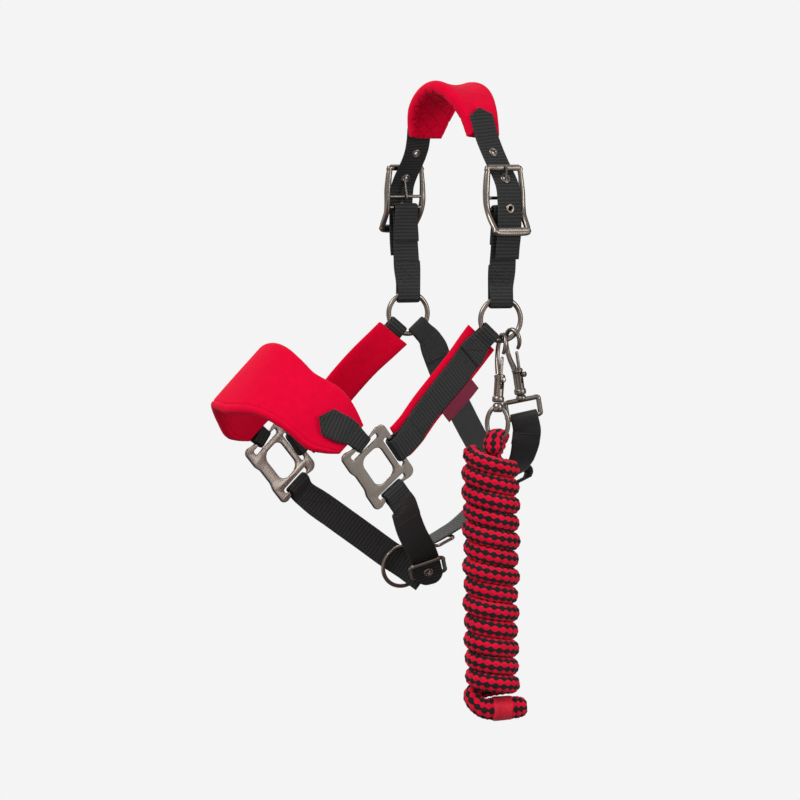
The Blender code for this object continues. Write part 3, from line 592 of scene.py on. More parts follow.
RING_PLANE = unit((0.28, 0.96, 0))
PLATE_BAR = 28.6
crown_runs, crown_straps, cheek_runs, ring_at = {}, {}, {}, {}
plate_centre, plate_p, plate_q, plate_look = {}, {}, {}, {}
for name, way in (("near", 1), ("far", -1)):
    crown = Run(
        [(way * 46.0, -4, -8.5), (way * 50.5, -3, -20.5), (way * 54.5, -1.5, -34), (way * 61, 0.2, -47.5),
         (way * 69.5, 0.5, -59), (way * 77.8, 0.5, -69), (way * 83.8, 0.5, -78.5), (way * 86.1, 0.5, -90),
         (way * 86.8, 0.5, -103), (way * 86.7, 0.5, -118), (way * 85.3, 0, -131), (way * 83.7, 0, -143.5)],
        [(way * 0.86, 0, 0.5), (way * 0.92, 0, 0.4), (way * 0.92, 0, 0.4), (way * 0.85, 0, 0.53),
         (way * 0.76, 0, 0.65), (way * 0.78, 0, 0.62), (way * 0.92, 0, 0.38), (way * 0.99, 0, 0.14),
         (way, 0, 0.03), (way, 0, -0.03), (way, 0, -0.07), (way, 0, -0.09)])
    crown_runs[name] = crown
    crown_straps[name] = band("crown_strap_" + name, crown, cut=(6.0, 0.0), tip=7.0)
    for across in (-10.6, 10.6):
        sew_along(crown, 8, 26, across)
    stitch((crown.place(7, 1.0, -10.5), crown.place(1.5, 1.0, 0)), crown.frame(4)[3])
    stitch((crown.place(7, 1.0, 10.5), crown.place(1.5, 1.0, 0)), crown.frame(4)[3])
    stitch((crown.place(26, 1.0, -10.5), crown.place(26, 1.0, 10.5)), crown.frame(26)[3])

    turned = np.array((way * 0.96, -0.28 * way, 0))
    upper = Run([(way * 79.3, 0, -98.5), (way * 79.1, 0, -111), (way * 78.3, 0, -128), (way * 76.6, 0, -152),
                 (way * 74.3, 0, -169), (way * 74.0, 0, -197.5 + RING_RADIUS)],
                [(way, 0, 0), (way, 0, 0), (way, -0.1 * way, 0), (way, -0.2 * way, 0), turned, turned])
    band("upper_cheek_strap_" + name, upper, fold(1.5, 32, False), fold(RING_WIRE, 30, False, 4.4),
         narrow=(0, 2.2))
    sewn_box(upper, upper.length - 27, upper.length - 9, 1, 8.5, 1)
    sewn_box(upper, upper.length - 27, upper.length - 9, -1, 8.5, 2)

    ring_at[name] = ring_centre = np.array((way * 74.0, 0.0, -197.5))
    drop = 0.0 if way > 0 else FAR_DROP
    p = unit((way * 0.08, 0.773, 0.635))
    q = unit((way * -0.06, 0.635, -0.773))
    centre = np.array((way * 80.5, -137.2, -322.7 - drop))
    look = unit(np.cross(q, p))
    look = look if look[0] * way > 0 else -look
    plate_centre[name], plate_p[name], plate_q[name], plate_look[name] = centre, p, q, look
    foot = centre + p * 24.4
    bow = np.array((0, -2, 4)) if way < 0 else np.zeros(3)
    angle = math.radians(226.0 if way > 0 else 227.0)
    radial = RING_PLANE * math.cos(angle) + np.array((0, 0, math.sin(angle)))
    between = foot - ring_centre
    cheek = Run([ring_centre + radial * RING_RADIUS, ring_centre + radial * (RING_RADIUS + 13),
                 ring_centre + between * 0.42 + bow, ring_centre + between * 0.68 + bow, foot + p * 17, foot],
                [turned, turned, (way, -0.1 * way, 0), look, look, look])
    cheek_runs[name] = cheek
    band("cheekpiece_" + name, cheek, fold(RING_WIRE, 30, True, 3.2), fold(2.8, 26, True), narrow=(4.0, 1.4))
    sewn_box(cheek, 12, 28, 1, 8.0, 2)
    sewn_box(cheek, cheek.length - 24, cheek.length - 9, 1, 9.0, 2)
    for across in (-10.8, 10.8):
        sew_along(cheek, 32, cheek.length - 28, across)

    bar = centre - q * PLATE_BAR
    patch = Run([(way * 75.4, -185.4, -281.3), (way * 79.4, -176.6, -286.6), bar - q * 14.7 - p * 3.1, bar],
                [(way * 0.84, -0.45, 0.3), (way * 0.9, -0.33, 0.27), look, look])
    band("nose_strap_" + name, patch, None, fold(2.8, 8, False), tip=9.0, narrow=(0, 5.0))
    for across in (-10.4, 10.4):
        sew_along(patch, 1.5, 24, across)
        stitch((patch.place(0.5, 1.0, across), patch.place(-6.0, 1.0, 0)), patch.frame(0)[3])
    stitch((patch.place(25, 1.0, -10.0), patch.place(25, 1.0, 10.0)), patch.frame(25)[3])

near_chin = Run(
    [plate_centre["near"] + plate_q["near"] * PLATE_BAR, plate_centre["near"] + plate_q["near"] * 44.0,
     (61, -96, -364), (38, -72, -388), (20, -50, -406.5), (12, -40, -416.5), (6.5, -32.5, -429),
     (2.5, -26.5, -442.5)],
    [plate_look["near"], plate_look["near"], (0.88, 0.02, -0.45), (0.72, -0.04, -0.7),
     (0.72, -0.08, -0.66), (0.76, -0.2, -0.6), (0.84, -0.36, -0.4), (0.85, -0.38, -0.35)])
chin_tab = band("chin_strap_near", near_chin, fold(2.8, 56, True), None, round_end=True, narrow=(2.0, 0))
sewn_box(near_chin, 40, 54, 1, 9.5, 2)
sewn_box(near_chin, 9, 22, 1, 8.5, 2)
far_chin = Run(
    [plate_centre["far"] + plate_q["far"] * PLATE_BAR, plate_centre["far"] + plate_q["far"] * 40.0,
     (-58.5, -92.5, -380.0), (-40.5, -71.5, -399.5), (-26, -55.2, -415.0), (-18, -43.6, -424.0),
     (-10, -35.8, -431.8), (-4, -29.5, -438)],
    [plate_look["far"], plate_look["far"], (-0.84, 0.52, -0.15)] + [(-0.8, 0.59, -0.1)] * 5)
band("chin_strap_far", far_chin, fold(2.8, 40, True), None, narrow=(1.2, 0))
for way, layers in ((-1, 1), (1, 2)):
    sewn_box(far_chin, 9, 37, way, 9.0, layers)
    sewn_box(far_chin, 84, 100, way, 9.5, 1)

hang_angle = math.radians(-50)
hang = RING_PLANE * math.cos(hang_angle) + np.array((0, 0, math.sin(hang_angle)))
low_mid = np.array([76.2, 25.0, -286.0])
throat = Run(
    [low_mid, low_mid + np.array((0.079, 0.186, -0.971)) * 12.0, (74.0, 28.6, -309), (64, 32.0, -323.5),
     (48.5, 36.5, -336.0), (31, 45.0, -344.0), (8, 53.5, -348), (-16, 57, -340.5), (-42, 56.5, -318),
     (-58, 48, -288), (-66, 34, -254), ring_at["far"] + hang * (RING_RADIUS + 16),
     ring_at["far"] + hang * RING_RADIUS],
    [(0.83, -0.56, 0.0), (0.83, -0.56, 0.0), (0.85, -0.35, -0.3), (0.75, -0.15, -0.6), (0.55, 0.0, -0.8),
     (0.3, 0.3, -0.9), (0.02, 0.5, -0.87), (-0.35, 0.4, -0.85), (-0.75, 0.3, -0.6), (-0.9, 0.25, -0.3),
     (-0.97, 0.22, -0.15), (-0.96, 0.28, 0), (-0.96, 0.28, 0)])
band("throat_strap", throat, fold(2.4, 28, False), fold(RING_WIRE, 34, False, 3.2), narrow=(0.6, 4.0),
     rib=0.05, finish=soft_tape)
stitch((throat.place(15.5, 1.0, -11.5), throat.place(15.5, 1.0, 11.5)), throat.frame(15)[3], 2.4)
sewn_box(throat, throat.length - 32, throat.length - 12, 1, 8.0, 1)
sewn_box(throat, throat.length - 32, throat.length - 12, -1, 8.0, 2)
at, along, side, face = throat.frame(98.0)
side = side if side[1] > 0 else -side
jaw = Run([(2, -38, -404.5), (4, -25.8, -400.6), (5, -8.2, -392.6), (6, 4.5, -385.4), (8, 22, -370.5),
           at - side * 25.0, at - side * 14.4],
          [(0, 0.3, -0.95), (0, 0.38, -0.92), (0, 0.45, -0.89), (0, 0.52, -0.85), (0.02, 0.58, -0.81),
           face, face])
band("jaw_strap", jaw, None, fold(4.7, 30, True, 28.6))
sewn_box(jaw, jaw.length - 27, jaw.length - 12, 1, 9.5, 2)


# ---------------------------------------------------------------------------------------------------------
# Fleece: red pile fabric over foam on the crown and the nose, and as a lining behind each cheekpiece. The
# pads are two skins sewn together round the edge, which pulls the edge in and leaves the middle plump.
def fleece_material(name, low, high):
    finish = Finish(name, rough=1.0, sheen=0.05, sheen_rough=0.45, spec=0.03)
    pile, nap = finish.speckle(1400.0, 3.0), finish.speckle(140.0, 4.0)
    both = finish.maths("MULTIPLY_ADD", pile, 0.5, finish.maths("MULTIPLY", nap, 0.5))
    finish.colour(finish.mix(both, low, high))
    finish.bump(finish.maths("MULTIPLY_ADD", nap, 0.5, pile), 0.6, 0.0006)
    return finish


fleece = fleece_material("red_fleece", (0.62, 0.001, 0.024), (0.96, 0.003, 0.048))
lining_fleece = fleece_material("red_lining", (0.54, 0.0, 0.018), (0.88, 0.002, 0.036))


def pad(name, grid_at, rows, columns, thick, groove, edge):
    """A plump pad from its middle surface; groove gives how far each face is sewn down at a point."""
    mid = np.array([[grid_at(i / (rows - 1), j / (columns - 1)) for j in range(columns)]
                    for i in range(rows)])
    du, dv = np.gradient(mid, axis=0), np.gradient(mid, axis=1)
    normal = unit_rows(np.cross(du, dv))
    u = np.linspace(-1, 1, rows)[:, None]
    v = np.linspace(-1, 1, columns)[None, :]
    span_u = np.linalg.norm(du, axis=2).sum(axis=0).mean() / 2
    span_v = np.linalg.norm(dv, axis=2).sum(axis=1).mean() / 2
    near_edge = np.minimum((1 - np.abs(u)) * span_u, (1 - np.abs(v)) * span_v)
    swell = np.sqrt(np.clip(1 - np.clip(1 - near_edge / edge, 0, 1) ** 2, 0, 1))
    points, faces = [], []
    for way in (1, -1):
        sunk = groove(u, v, way, span_u, span_v)
        points.append((mid + normal * ((thick / 2 - sunk) * swell * way)[:, :, None]).reshape(-1, 3))
    count = rows * columns
    rim = ([(0, j) for j in range(columns)] + [(i, columns - 1) for i in range(1, rows)]
           + [(rows - 1, j) for j in range(columns - 2, -1, -1)] + [(i, 0) for i in range(rows - 2, 0, -1)])
    shared = {i * columns + j for i, j in rim}
    low = [k if k in shared else k + count for k in range(count)]
    for i in range(rows - 1):
        for j in range(columns - 1):
            a, b = i * columns + j, (i + 1) * columns + j
            c, d = b + 1, a + 1
            faces.append((a, b, c, d))
            faces.append((low[d], low[c], low[b], low[a]))
    used = sorted({k for f in faces for k in f})
    new = {k: n for n, k in enumerate(used)}
    obj = made(name + "_fleece", np.vstack(points)[used], [[new[k] for k in f] for f in faces], fleece)
    declare(obj, "fleece", name)


# Each row of an arch is x, z, half the pad's width there, and how far its front and back edges lift.
ARCH = [(0.0, 5.2, 25.5, 5.0), (14.0, 3.8, 25.0, 3.6), (26.0, -1.5, 23.0, 1.5), (36.0, -11.0, 19.5, 0.5),
        (42.5, -22.5, 16.5, 0.0), (46.5, -35.0, 14.5, 0.0)]
FAR_ARCH = [(0.0, 5.2, 25.5, 5.0), (14.0, 3.8, 25.0, 3.6), (26.0, -1.5, 25.0, 1.5), (36.0, -11.0, 24.0, 0.5),
            (42.5, -22.5, 20.5, 0.0), (46.5, -35.0, 16.0, 0.0)]
both_arches = [(-x, z, half, lift) for x, z, half, lift in FAR_ARCH[:0:-1]] + ARCH
arch_rows = smooth_line([(x, z, half) for x, z, half, _ in both_arches], 0.5)
arch_lift = smooth_line([(x, z, lift) for x, z, _, lift in both_arches], 0.5)


def crown_at(s, t):
    """A point of the crown pad's middle surface: s goes from far end to near end, t from front to back."""
    k = s * (len(arch_rows) - 1)
    x, z, half = (np.interp(k, np.arange(len(arch_rows)), arch_rows[:, c]) for c in range(3))
    lift = np.interp(s * (len(arch_lift) - 1), np.arange(len(arch_lift)), arch_lift[:, 2])
    y = 2 * t - 1
    high = 2.2 * math.cos(math.pi * x / 96)
    return x, y * (half + (1.6 if x > 0 else 0.6)), z + high + lift * y * y + (1.5 * y * y if y < 0 else 0.0)


def crown_groove(u, v, way, span_u, span_v):
    """The crown pad is plain on top; underneath it is quilted in diamonds inside a sewn border."""
    if way > 0:
        return np.zeros((u.size, v.size))
    border = np.exp(-(((1 - np.abs(v)) * span_v - 9.0) / 1.1) ** 2)
    quilt = [np.exp(-((((u * span_u + lean * v * span_v) / 15.0 + 0.5) % 1 - 0.5) * 15.0 / 0.9) ** 2)
             for lean in (1, -1)]
    return 1.5 * np.maximum(border, np.maximum(*quilt))


pad("crown_pad", crown_at, 130, 72, 12.4, crown_groove, 5.6)

# Each row is an angle round the nose and the heights of the pad's lower and upper edges there.
NOSE = [(7, -310.0, -287.0), (17, -309.0, -268), (28, -305, -254.5), (40, -291, -247.5), (52, -280.5, -241),
        (64, -275.5, -229.5), (77, -275.0, -220.0), (90, -276.0, -217.0)]
nose_rows = NOSE + [(180 - t, lo + 1.5 * math.sin(math.radians(2 * t)), hi) for t, lo, hi in NOSE[-2::-1]]
nose_edges = smooth_line(nose_rows, 0.5)


def nose_at(s, share):
    """A point of the nose pad's middle surface: s goes from the near end round to the far end."""
    k = s * (len(nose_edges) - 1)
    turn, low, high = (np.interp(k, np.arange(len(nose_edges)), nose_edges[:, c]) for c in range(3))
    a = math.radians(turn)
    wide = 76.5 - 2.0 * share
    deep = 79.5 - 32.0 * share
    bulge = 1.2 * math.sin(math.pi * share)
    back = -165.0 + 22.0 * share
    return (wide + bulge) * math.cos(a), back - (deep + bulge) * math.sin(a), low + (high - low) * share


def nose_groove(u, v, way, span_u, span_v):
    """The nose pad has one row of stitching along its lower edge, on both faces."""
    return np.exp(-(((1 + v) * span_v - 5.5) / 0.8) ** 2) * 0.9


pad("nose_pad", nose_at, 240, 84, 9.0, nose_groove, 4.2)

for name in ("near", "far"):
    upper_end = [(s, -3.65 * (1 - smooth(s / 14))) for s in (5, 9.5)]
    lower_end = [(s, -4.15 * (1 - smooth(s / 14))) for s in (6.5, 10)]
    lining = band("cheek_lining_" + name, cheek_runs[name], upper_end, lower_end, wide=34.0, thick=6.2,
                  lift=-(WEB_THICK / 2 + 3.15), rib=0.0, finish=lining_fleece, puff=7.0, space=1.2,
                  slot="fleece")


# ---------------------------------------------------------------------------------------------------------
# Hardware: zinc castings and bent steel wire, all plated in a dark brownish gunmetal that shows bright
# edges where light catches it. Rings and frames are welded; the snaps are cast with a turned barrel.
gunmetal = Finish("gunmetal_plating", rough=0.27, metal=1.0)
smear, scratch = gunmetal.speckle(55.0, 5.0), gunmetal.speckle(600.0)
gunmetal.colour(gunmetal.mix(smear, (0.21, 0.180, 0.157), (0.30, 0.262, 0.230)))
gunmetal.feed(gunmetal.maths("MULTIPLY_ADD", scratch, 0.14, 0.21), gunmetal.bsdf.inputs["Roughness"])
gunmetal.bump(smear, 0.02, 0.0005)


def tube(name, points, radius, closed=False, radii=None, spacing=1.2, sides=20, wide=1.0, flat_way=None):
    """Round bar bent smoothly through points; flat_way and wide press it into an oval section."""
    line = smooth_line(points, spacing, closed)
    _, u, v = along_frames(line, closed)
    r = np.full(len(line), radius, float)
    if radii is not None:
        r = r * np.interp(np.linspace(0, 1, len(line)), np.linspace(0, 1, len(radii)), radii)
    turns = 2 * math.pi * np.arange(sides) / sides
    off = (u[:, None, :] * (r[:, None] * np.cos(turns))[:, :, None]
           + v[:, None, :] * (r[:, None] * np.sin(turns))[:, :, None])
    if flat_way is not None:
        along_flat = (off @ unit(flat_way))[:, :, None] * unit(flat_way)
        off = off + along_flat * (wide - 1)
    faces, _ = tube_faces(len(line), sides, closed)
    return made(name, (line[:, None, :] + off).reshape(-1, 3), faces, gunmetal)


def turned_piece(name, start, stop, profile, sides):
    """A lathe-turned piece: profile lists (share of the length, radius)."""
    start, stop = np.asarray(start, float), np.asarray(stop, float)
    way = unit(stop - start)
    u = unit(np.cross(way, (0.31, 0.22, 0.91) if abs(way[2]) < 0.9 else (1, 0, 0)))
    v = np.cross(way, u)
    turns = (2 * math.pi * np.arange(sides) / sides)[:, None]
    rings = [start + (stop - start) * share + u * radius * np.cos(turns) + v * radius * np.sin(turns)
             for share, radius in profile]
    faces, _ = tube_faces(len(rings), sides)
    return made(name, np.vstack(rings), faces, gunmetal)


def evaluated(obj):
    """The object's mesh as its modifiers leave it."""
    bpy.context.view_layer.update()
    return bpy.data.meshes.new_from_object(obj.evaluated_get(bpy.context.evaluated_depsgraph_get()))


def combine(obj, others, operation):
    for other in others:
        modifier = obj.modifiers.new(operation, "BOOLEAN")
        modifier.operation = operation
        modifier.solver = "EXACT"
        modifier.object = other


def joined(node, pieces, body="headcollar", cutters=(), laid_on=()):
    """Makes one casting of several overlapping solids, less any cutters, with some soldered over it."""
    combine(pieces[0], pieces[1:], "UNION")
    combine(pieces[0], cutters, "DIFFERENCE")
    mesh = evaluated(pieces[0])
    if laid_on:
        form = bmesh.new()
        form.from_mesh(mesh)
        for other in laid_on:
            form.from_mesh(other.data)
        form.to_mesh(mesh)
        form.free()
    for other in list(pieces) + list(cutters) + list(laid_on):
        bpy.data.objects.remove(other, do_unlink=True)
    mesh.shade_smooth()
    mesh.set_sharp_from_angle(angle=math.radians(38))
    declare(placed(node + "_metal", mesh), "gunmetal", node, body=body)


def circle(centre, u, v, ru, rv, count):
    turns = 2 * math.pi * np.arange(count) / count
    return [np.asarray(centre) + unit(u) * ru * math.cos(a) + unit(v) * rv * math.sin(a) for a in turns]


def rounded(corners, radii, per=6):
    """A flat outline through corners, each rounded to its radius."""
    outline = []
    for k, corner in enumerate(corners):
        c = np.array(corner, float)
        a, b = unit(np.array(corners[k - 1]) - c), unit(np.array(corners[(k + 1) % len(corners)]) - c)
        half = math.acos(float(np.clip(a @ b, -1, 1))) / 2
        centre = c + unit(a + b) * (radii[k] / math.sin(half))
        start, stop = (c + w * (radii[k] / math.tan(half)) - centre for w in (a, b))
        outline += [centre + unit(start + (stop - start) * j / per) * radii[k] for j in range(per + 1)]
    return outline


def frame_loop(corners, shares):
    """Points at these shares of each side of a frame."""
    return [a + (b - a) * t for a, b in zip(corners, corners[1:] + corners[:1]) for t in shares]


def alone(obj, node):
    obj.name = node + "_metal"
    declare(obj, "gunmetal", node)


PLATE_EDGE = 0.75
for name, way in (("near", 1), ("far", -1)):
    # Buckle: two long rails bowed out over the strap, a heavy flat lower bar and two thinner cross bars.
    rail = [(78.3, -61.5, 15.5), (78.5, -65, 17.8), (78.7, -74, 19.0), (79.1, -84, 19.7), (79.5, -94, 19.6),
            (81.8, -103, 18.8), (86.4, -110.5, 18.4), (90.3, -116, 17.6), (91.6, -119.5, 15.0)]
    loop = [(way * x, y, z) for x, z, y in rail] + [(way * x, -y, z) for x, z, y in reversed(rail)]
    shares = [0.9, 0.95, 1.1, 1.25, 1.3, 1.2, 1.1, 1.1, 1.1]
    pieces = [tube("buckle", loop, 2.4, True, shares + shares[::-1] + [0.9])]
    heavy = []
    for x, z, thick_bar, tall in ((79.3, -88.5, 1.5, 1.0), (79.3, -98.5, 1.5, 1.0), (78.35, -61.6, 2.2, 1.3),
                                  (91.5, -118.4, 2.3, 1.65)):
        reach = 19.4 if tall == 1.0 else 16.5
        line = [(way * x, y, z) for y in (-reach, -reach / 3, reach / 3, reach)]
        tilt = (0.25 * way * (tall > 1.4), 0, 1)
        bar = tube("bar", line, thick_bar, spacing=3.0, flat_way=tilt, wide=tall)
        (heavy if tall > 1 else pieces).append(bar)
    joined("buckle_" + name, pieces, laid_on=heavy)

    # Tongue: a pin curled round its bar, lying over the strap with its tip on the frame.
    pin = []
    for turn in (-60, -95, -130, -165, -200):
        a = math.radians(turn)
        pin.append((way * (79.3 + 2.85 * math.cos(a)), 0.5, -88.5 + 2.85 * math.sin(a)))
    pin += [(way * 79.9, 0.5, -74.4), (way * 82.3, 0.5, -62.0), (way * 82.4, 0.5, -59.5)]
    alone(tube("tongue_" + name, pin, 1.15, spacing=0.8, radii=[1, 1, 1, 1, 0.9, 0.75]), "tongue_" + name)

    alone(tube("ring_" + name, circle(ring_at[name], RING_PLANE, up, RING_RADIUS, RING_RADIUS, 48), RING_WIRE,
               True, spacing=1.6, sides=24), "ring_" + name)

    # Noseband plate: a flat casting, its corners full and its edges softened, with a slot for each strap.
    edge = rounded([(-24.3, -31), (-24.3, -14), (-22.2, -8), (-22.2, 8), (-24.3, 14), (-24.3, 31),
                    (-18, 32.3), (-8, 29.6), (10, 28.0), (20, 30.0), (26.8, 28.5), (26.8, -28.5),
                    (20, -30.0), (10, -28.0), (-8, -29.6), (-18, -32.3)],
                   [4.5, 9, 9, 9, 9, 4.5, 4.5, 9, 9, 7, 6, 6, 7, 9, 9, 4.5])
    holes = [rounded([(-11, -16), (12, -16), (12, 16), (-11, 16)], [8, 7, 7, 8]),
             rounded([(-16, -26.3), (16.2, -26.3), (16.2, -21.6), (-16, -21.6)], [1.8] * 4),
             rounded([(-16, 21.6), (16.2, 21.6), (16.2, 26.3), (-16, 26.3)], [1.8] * 4),
             rounded([(17.8, -16), (22.3, -16), (22.3, 16), (17.8, 16)], [1.8] * 4)]
    outline = bpy.data.curves.new("plate", "CURVE")
    outline.dimensions = "2D"
    outline.fill_mode = "BOTH"
    outline.extrude = outline.bevel_depth = PLATE_EDGE * MM
    outline.bevel_resolution = 3
    outline.offset = -PLATE_EDGE * MM
    for ring in [edge] + holes:
        spline = outline.splines.new("POLY")
        spline.points.add(len(ring) - 1)
        for k, point in enumerate(ring):
            spline.points[k].co = (point[0] * MM, point[1] * MM, 0.0, 1.0)
        spline.use_cyclic_u = True
    cast = placed("plate", outline)
    mesh = evaluated(cast)
    bpy.data.objects.remove(cast, do_unlink=True)
    u, n = plate_p[name], unit(np.cross(plate_p[name], plate_q[name]))
    v, c = np.cross(n, u), plate_centre[name] * MM
    mesh.transform(Matrix(((u[0], v[0], n[0], c[0]), (u[1], v[1], n[1], c[1]), (u[2], v[2], n[2], c[2]),
                           (0, 0, 0, 1))))
    form = bmesh.new()
    form.from_mesh(mesh)
    bmesh.ops.remove_doubles(form, verts=form.verts, dist=2e-6)
    bmesh.ops.recalc_face_normals(form, faces=form.faces)
    form.to_mesh(mesh)
    form.free()
    mesh.materials.clear()
    mesh.materials.append(gunmetal.material)
    mesh.shade_smooth()
    mesh.set_sharp_from_angle(angle=math.radians(40))
    alone(placed("plate", mesh), "plate_" + name)

# Chin ring, chin buckle and the slide under the jaw: bent wire, welded shut at the back.
at, along, side, face = far_chin.frame(124.0)
lean = unit(along * 0.5 - face * 0.87)
down = side if side[2] < 0 else -side
alone(tube("chin_ring", circle(at + down * 2.4, unit(np.cross(lean, down)), down, 19.0, 19.0, 48), 1.9, True,
           spacing=1.6), "chin_ring")
at, along, side, face = near_chin.frame(near_chin.length - 28.5)
low = near_chin.frame(near_chin.length - 8.5)
top_bar, low_bar = at + face * 3.5, low[0] - low[3] * 3.5
corners = [top_bar - side * 15.8, top_bar + side * 15.8, low_bar + low[2] * 15.8, low_bar - low[2] * 15.8]
loop = frame_loop(corners, (0.1, 0.3, 0.5, 0.7, 0.9))
alone(tube("chin_buckle", loop, 1.9, True, spacing=1.0), "chin_buckle")
fore, back = jaw.frame(9.0), jaw.frame(27.0)
corners = [fore[0] + fore[3] * 3.0 - fore[2] * 15.5, fore[0] + fore[3] * 3.0 + fore[2] * 15.5,
           back[0] + back[3] * 3.0 + back[2] * 15.5, back[0] + back[3] * 3.0 - back[2] * 15.5]
loop = frame_loop(corners, (0.12, 0.3, 0.5, 0.7, 0.88))
alone(tube("jaw_slide", loop, 1.5, True, spacing=1.0), "jaw_slide")

# Throat eye: a flat-topped square loop cast on a ball, the doubled throat strap hanging in it.
wide_way = unit((0.55, 0.81, 0.2))
top_mid = np.array((75.6, 22.4, -270.6))
corners = [top_mid - wide_way * 15.2, top_mid + wide_way * 15.2, low_mid + wide_way * 15.2,
           low_mid - wide_way * 15.2]
ball = turned_piece("ball", (75.3, 21.6, -266.0), (75.6, 22.4, -271.8),
                    [(0, 3.0), (0.12, 3.9), (0.35, 4.7), (0.6, 4.8), (0.85, 4.2), (1, 3.4)], 28)
loop = tube("loop", frame_loop(corners, (0.06, 0.2, 0.5, 0.8, 0.94)), 2.3, True, spacing=1.0)
joined("throat_eye", [loop, ball])
ball = turned_piece("ball", (79.45, -6.7, -271.9), (79.9, -7.2, -280.4),
                    [(0, 3.2), (0.1, 3.9), (0.3, 4.8), (0.55, 4.9), (0.8, 4.3), (1, 3.2)], 28)
loop = tube("loop", circle(EYE_CENTRE, right, up, 9.4, EYE_TALL, 40), EYE_WIRE, True, sides=24)
joined("lead_eye", [loop, ball])


def snap(name, hook_top, foot, across):
    """Bolt snap: a cast hook on a turned barrel, shut by a spring bolt with a thumb knob."""
    hook_top, foot = np.asarray(hook_top, float), np.asarray(foot, float)
    down = unit(foot - hook_top)
    across = unit(np.asarray(across) - down * np.dot(across, down))
    square = np.cross(down, across)

    def at(x, y):
        return hook_top + across * x + down * y

    bend = [(-2.4, 39.0), (-3.6, 34.5), (-6.0, 28.0), (-7.6, 20.0), (-7.5, 11.0), (-5.3, 3.6), (-1.5, 0.2),
            (2.6, 0.7), (5.9, 4.0), (7.1, 9.2), (6.2, 14.0), (4.0, 17.6)]
    hook = tube("hook", [at(*xy) for xy in bend], 2.0, spacing=0.9,
                radii=[1.3, 1.25, 1.15, 1.05] + [1.0] * 6 + [0.95, 0.8])
    barrel = turned_piece("barrel", at(0, 36.0), foot,
                          [(0, 3.4), (0.02, 4.3), (0.05, 5.0), (0.1, 5.1), (0.13, 4.6), (0.2, 4.5),
                           (0.45, 4.45), (0.78, 4.4), (0.8, 4.9), (0.84, 5.4), (0.95, 5.4), (0.985, 5.0),
                           (1, 4.4)], 36)
    bore = turned_piece("bore", at(2.3, 33.0), at(2.3, 53.0), [(0, 1.85), (1, 1.85)], 20)
    mouth = (at(2, 38.2), at(9, 38.2), at(9, 49.6), at(2, 49.6))
    points = [c + square * w for w in (1.8, -1.8) for c in mouth]
    faces = [(3, 2, 1, 0), (4, 5, 6, 7), (0, 1, 5, 4), (1, 2, 6, 5), (2, 3, 7, 6), (3, 0, 4, 7)]
    gap = made("gap", points, faces, gunmetal)
    joined(name + "_body", [barrel, hook], cutters=(bore, gap))
    pin = turned_piece("pin", at(2.3, 20.2), at(2.3, 45.0),
                       [(0, 0.7), (0.02, 1.15), (0.05, 1.45), (1, 1.45)], 20)
    knob = turned_piece("knob", at(2.3, 41.4), at(8.8, 41.4),
                        [(0, 1.2), (0.55, 1.2), (0.58, 2.0), (0.66, 2.6), (0.9, 2.5), (0.98, 2.0),
                         (1, 1.6)], 24)
    joined(name + "_bolt", [pin, knob], body=name.replace("_snap", "_bolt"))


snap("throat_snap", (77.3, 9.6, -206.6), (75.3, 21.4, -265.5), (0.94, 0.34, 0))
snap("lead_snap", (74.8, 1.8, -210.9), (79.4, -6.6, -271.4), (0.987, -0.159, 0))

# Eyelets: pressed brass rims plated like the rest, one each side of every hole, the tape cut out inside.
punched = [(crown_straps[name], crown_runs[name], f"crown_eyelet_{spot}_{name}", s, bore)
           for name in ("near", "far")
           for spot, s, bore in (("top", 42.8, 2.5), ("tongue", 72.7, 3.2), ("low", 100.5, 2.5))]
punched.append((chin_tab, near_chin, "chin_eyelet", near_chin.length - 14, 2.5))
for owner, run, node, s, bore in punched:
    at, along, side, face = run.frame(s)
    hole = turned_piece("hole", at - face * 5, at + face * 5, [(0, bore), (1, bore)], 24)
    combine(owner, [hole], "DIFFERENCE")
    pierced = evaluated(owner)
    owner.modifiers.clear()
    owner.data = pierced
    bpy.data.objects.remove(hole, do_unlink=True)
    # How far past the bore, and how high, the rim's section goes.
    rim = [(-0.45, 1.5), (0.1, 1.95), (0.9, 2.05), (1.7, 1.75), (2.1, 1.15), (2.1, 0.9), (-0.1, 0.9),
           (-0.1, -0.9), (2.0, -0.9), (2.0, -1.2), (0.9, -1.7), (-0.1, -1.6), (-0.45, -1.2)]
    turns = 2 * math.pi * np.arange(28) / 28
    points = [at + (along * math.cos(a) + side * math.sin(a)) * (bore + r) + face * h
              for a in turns for r, h in rim]
    faces, _ = tube_faces(len(turns), len(rim), closed=True)
    alone(made(node, points, faces, gunmetal), node)


# ---------------------------------------------------------------------------------------------------------
# Side label: a small plain tab of maroon woven ribbon, 12.6 mm deep. It is sewn under the lower edge of the
# near cheekpiece, and it carries no words.
woven = Finish("woven_label", rough=0.7, sheen=0.1, spec=0.3)
grain = woven.speckle(900.0)
woven.colour(woven.mix(grain, (0.13, 0.004, 0.022), (0.24, 0.010, 0.045)))
woven.bump(grain, 0.3, 0.0002)
label_at = (43, 54, 66, 77, 88)
label_run = Run([cheek_runs["near"].place(s, 0.1, WEB_WIDE / 2 + GAP + 6.3) for s in label_at],
                [cheek_runs["near"].frame(s)[3] for s in label_at])
band("side_label", label_run, wide=12.6, thick=0.8, rib=0.0, finish=woven, slot="label")


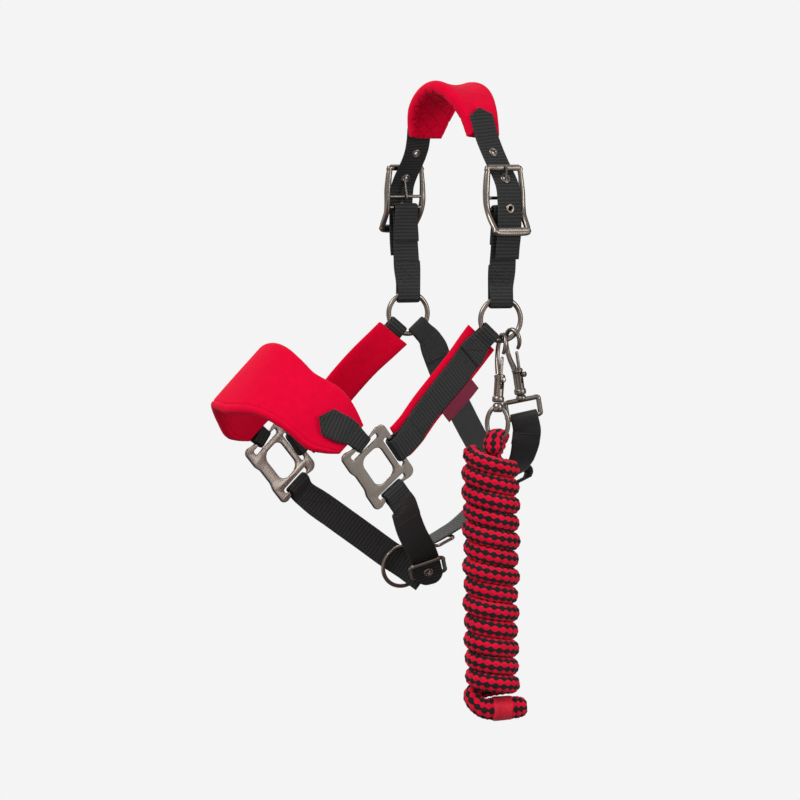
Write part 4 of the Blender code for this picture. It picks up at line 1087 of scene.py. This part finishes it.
# ---------------------------------------------------------------------------------------------------------
# Stitching: black bonded thread. It runs along the edges of the straps, and in a box with a cross in it
# wherever a strap is doubled back and sewn down.
THREAD_RADIUS = 0.28
thread = Finish("black_thread", rough=0.45, spec=0.5)
thread.colour(thread.mix(thread.speckle(800.0), (0.012, 0.012, 0.013), (0.05, 0.05, 0.053)))
sewing = bpy.data.node_groups.new("sewing", "GeometryNodeTree")
sewing.interface.new_socket("Geometry", in_out="INPUT", socket_type="NodeSocketGeometry")
thread_size = sewing.interface.new_socket("Thread radius", in_out="INPUT", socket_type="NodeSocketFloat")
thread_finish = sewing.interface.new_socket("Thread", in_out="INPUT", socket_type="NodeSocketMaterial")
sewing.interface.new_socket("Geometry", in_out="OUTPUT", socket_type="NodeSocketGeometry")
enter, curve, ringed, sweep, real, dye, leave = (sewing.nodes.new(kind) for kind in (
    "NodeGroupInput", "GeometryNodeMeshToCurve", "GeometryNodeCurvePrimitiveCircle",
    "GeometryNodeCurveToMesh", "GeometryNodeRealizeInstances", "GeometryNodeSetMaterial",
    "NodeGroupOutput"))
ringed.inputs["Resolution"].default_value = 6
sweep.inputs["Fill Caps"].default_value = True
for a, b in ((enter.outputs["Geometry"], curve.inputs["Mesh"]),
             (curve.outputs["Curve"], sweep.inputs["Curve"]),
             (enter.outputs["Thread radius"], ringed.inputs["Radius"]),
             (ringed.outputs["Curve"], sweep.inputs["Profile Curve"]),
             (sweep.outputs["Mesh"], real.inputs[0]),
             (real.outputs[0], dye.inputs["Geometry"]),
             (enter.outputs["Thread"], dye.inputs["Material"]),
             (dye.outputs["Geometry"], leave.inputs[0])):
    sewing.links.new(a, b)
edges = [(4 * k + j, 4 * k + j + 1) for k in range(len(stitches)) for j in range(3)]
lines = bpy.data.meshes.new("seams")
lines.from_pydata((np.array(stitches).reshape(-1, 3) * MM).tolist(), edges, [])
seams = placed("seams", lines)
sew = seams.modifiers.new("sewing", "NODES")
sew.node_group = sewing
sew[thread_size.identifier] = THREAD_RADIUS * MM
sew[thread_finish.identifier] = thread.material
mesh = evaluated(seams)
bpy.data.objects.remove(seams, do_unlink=True)
mesh.shade_smooth()
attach(placed("stitching_black", mesh), "headcollar")
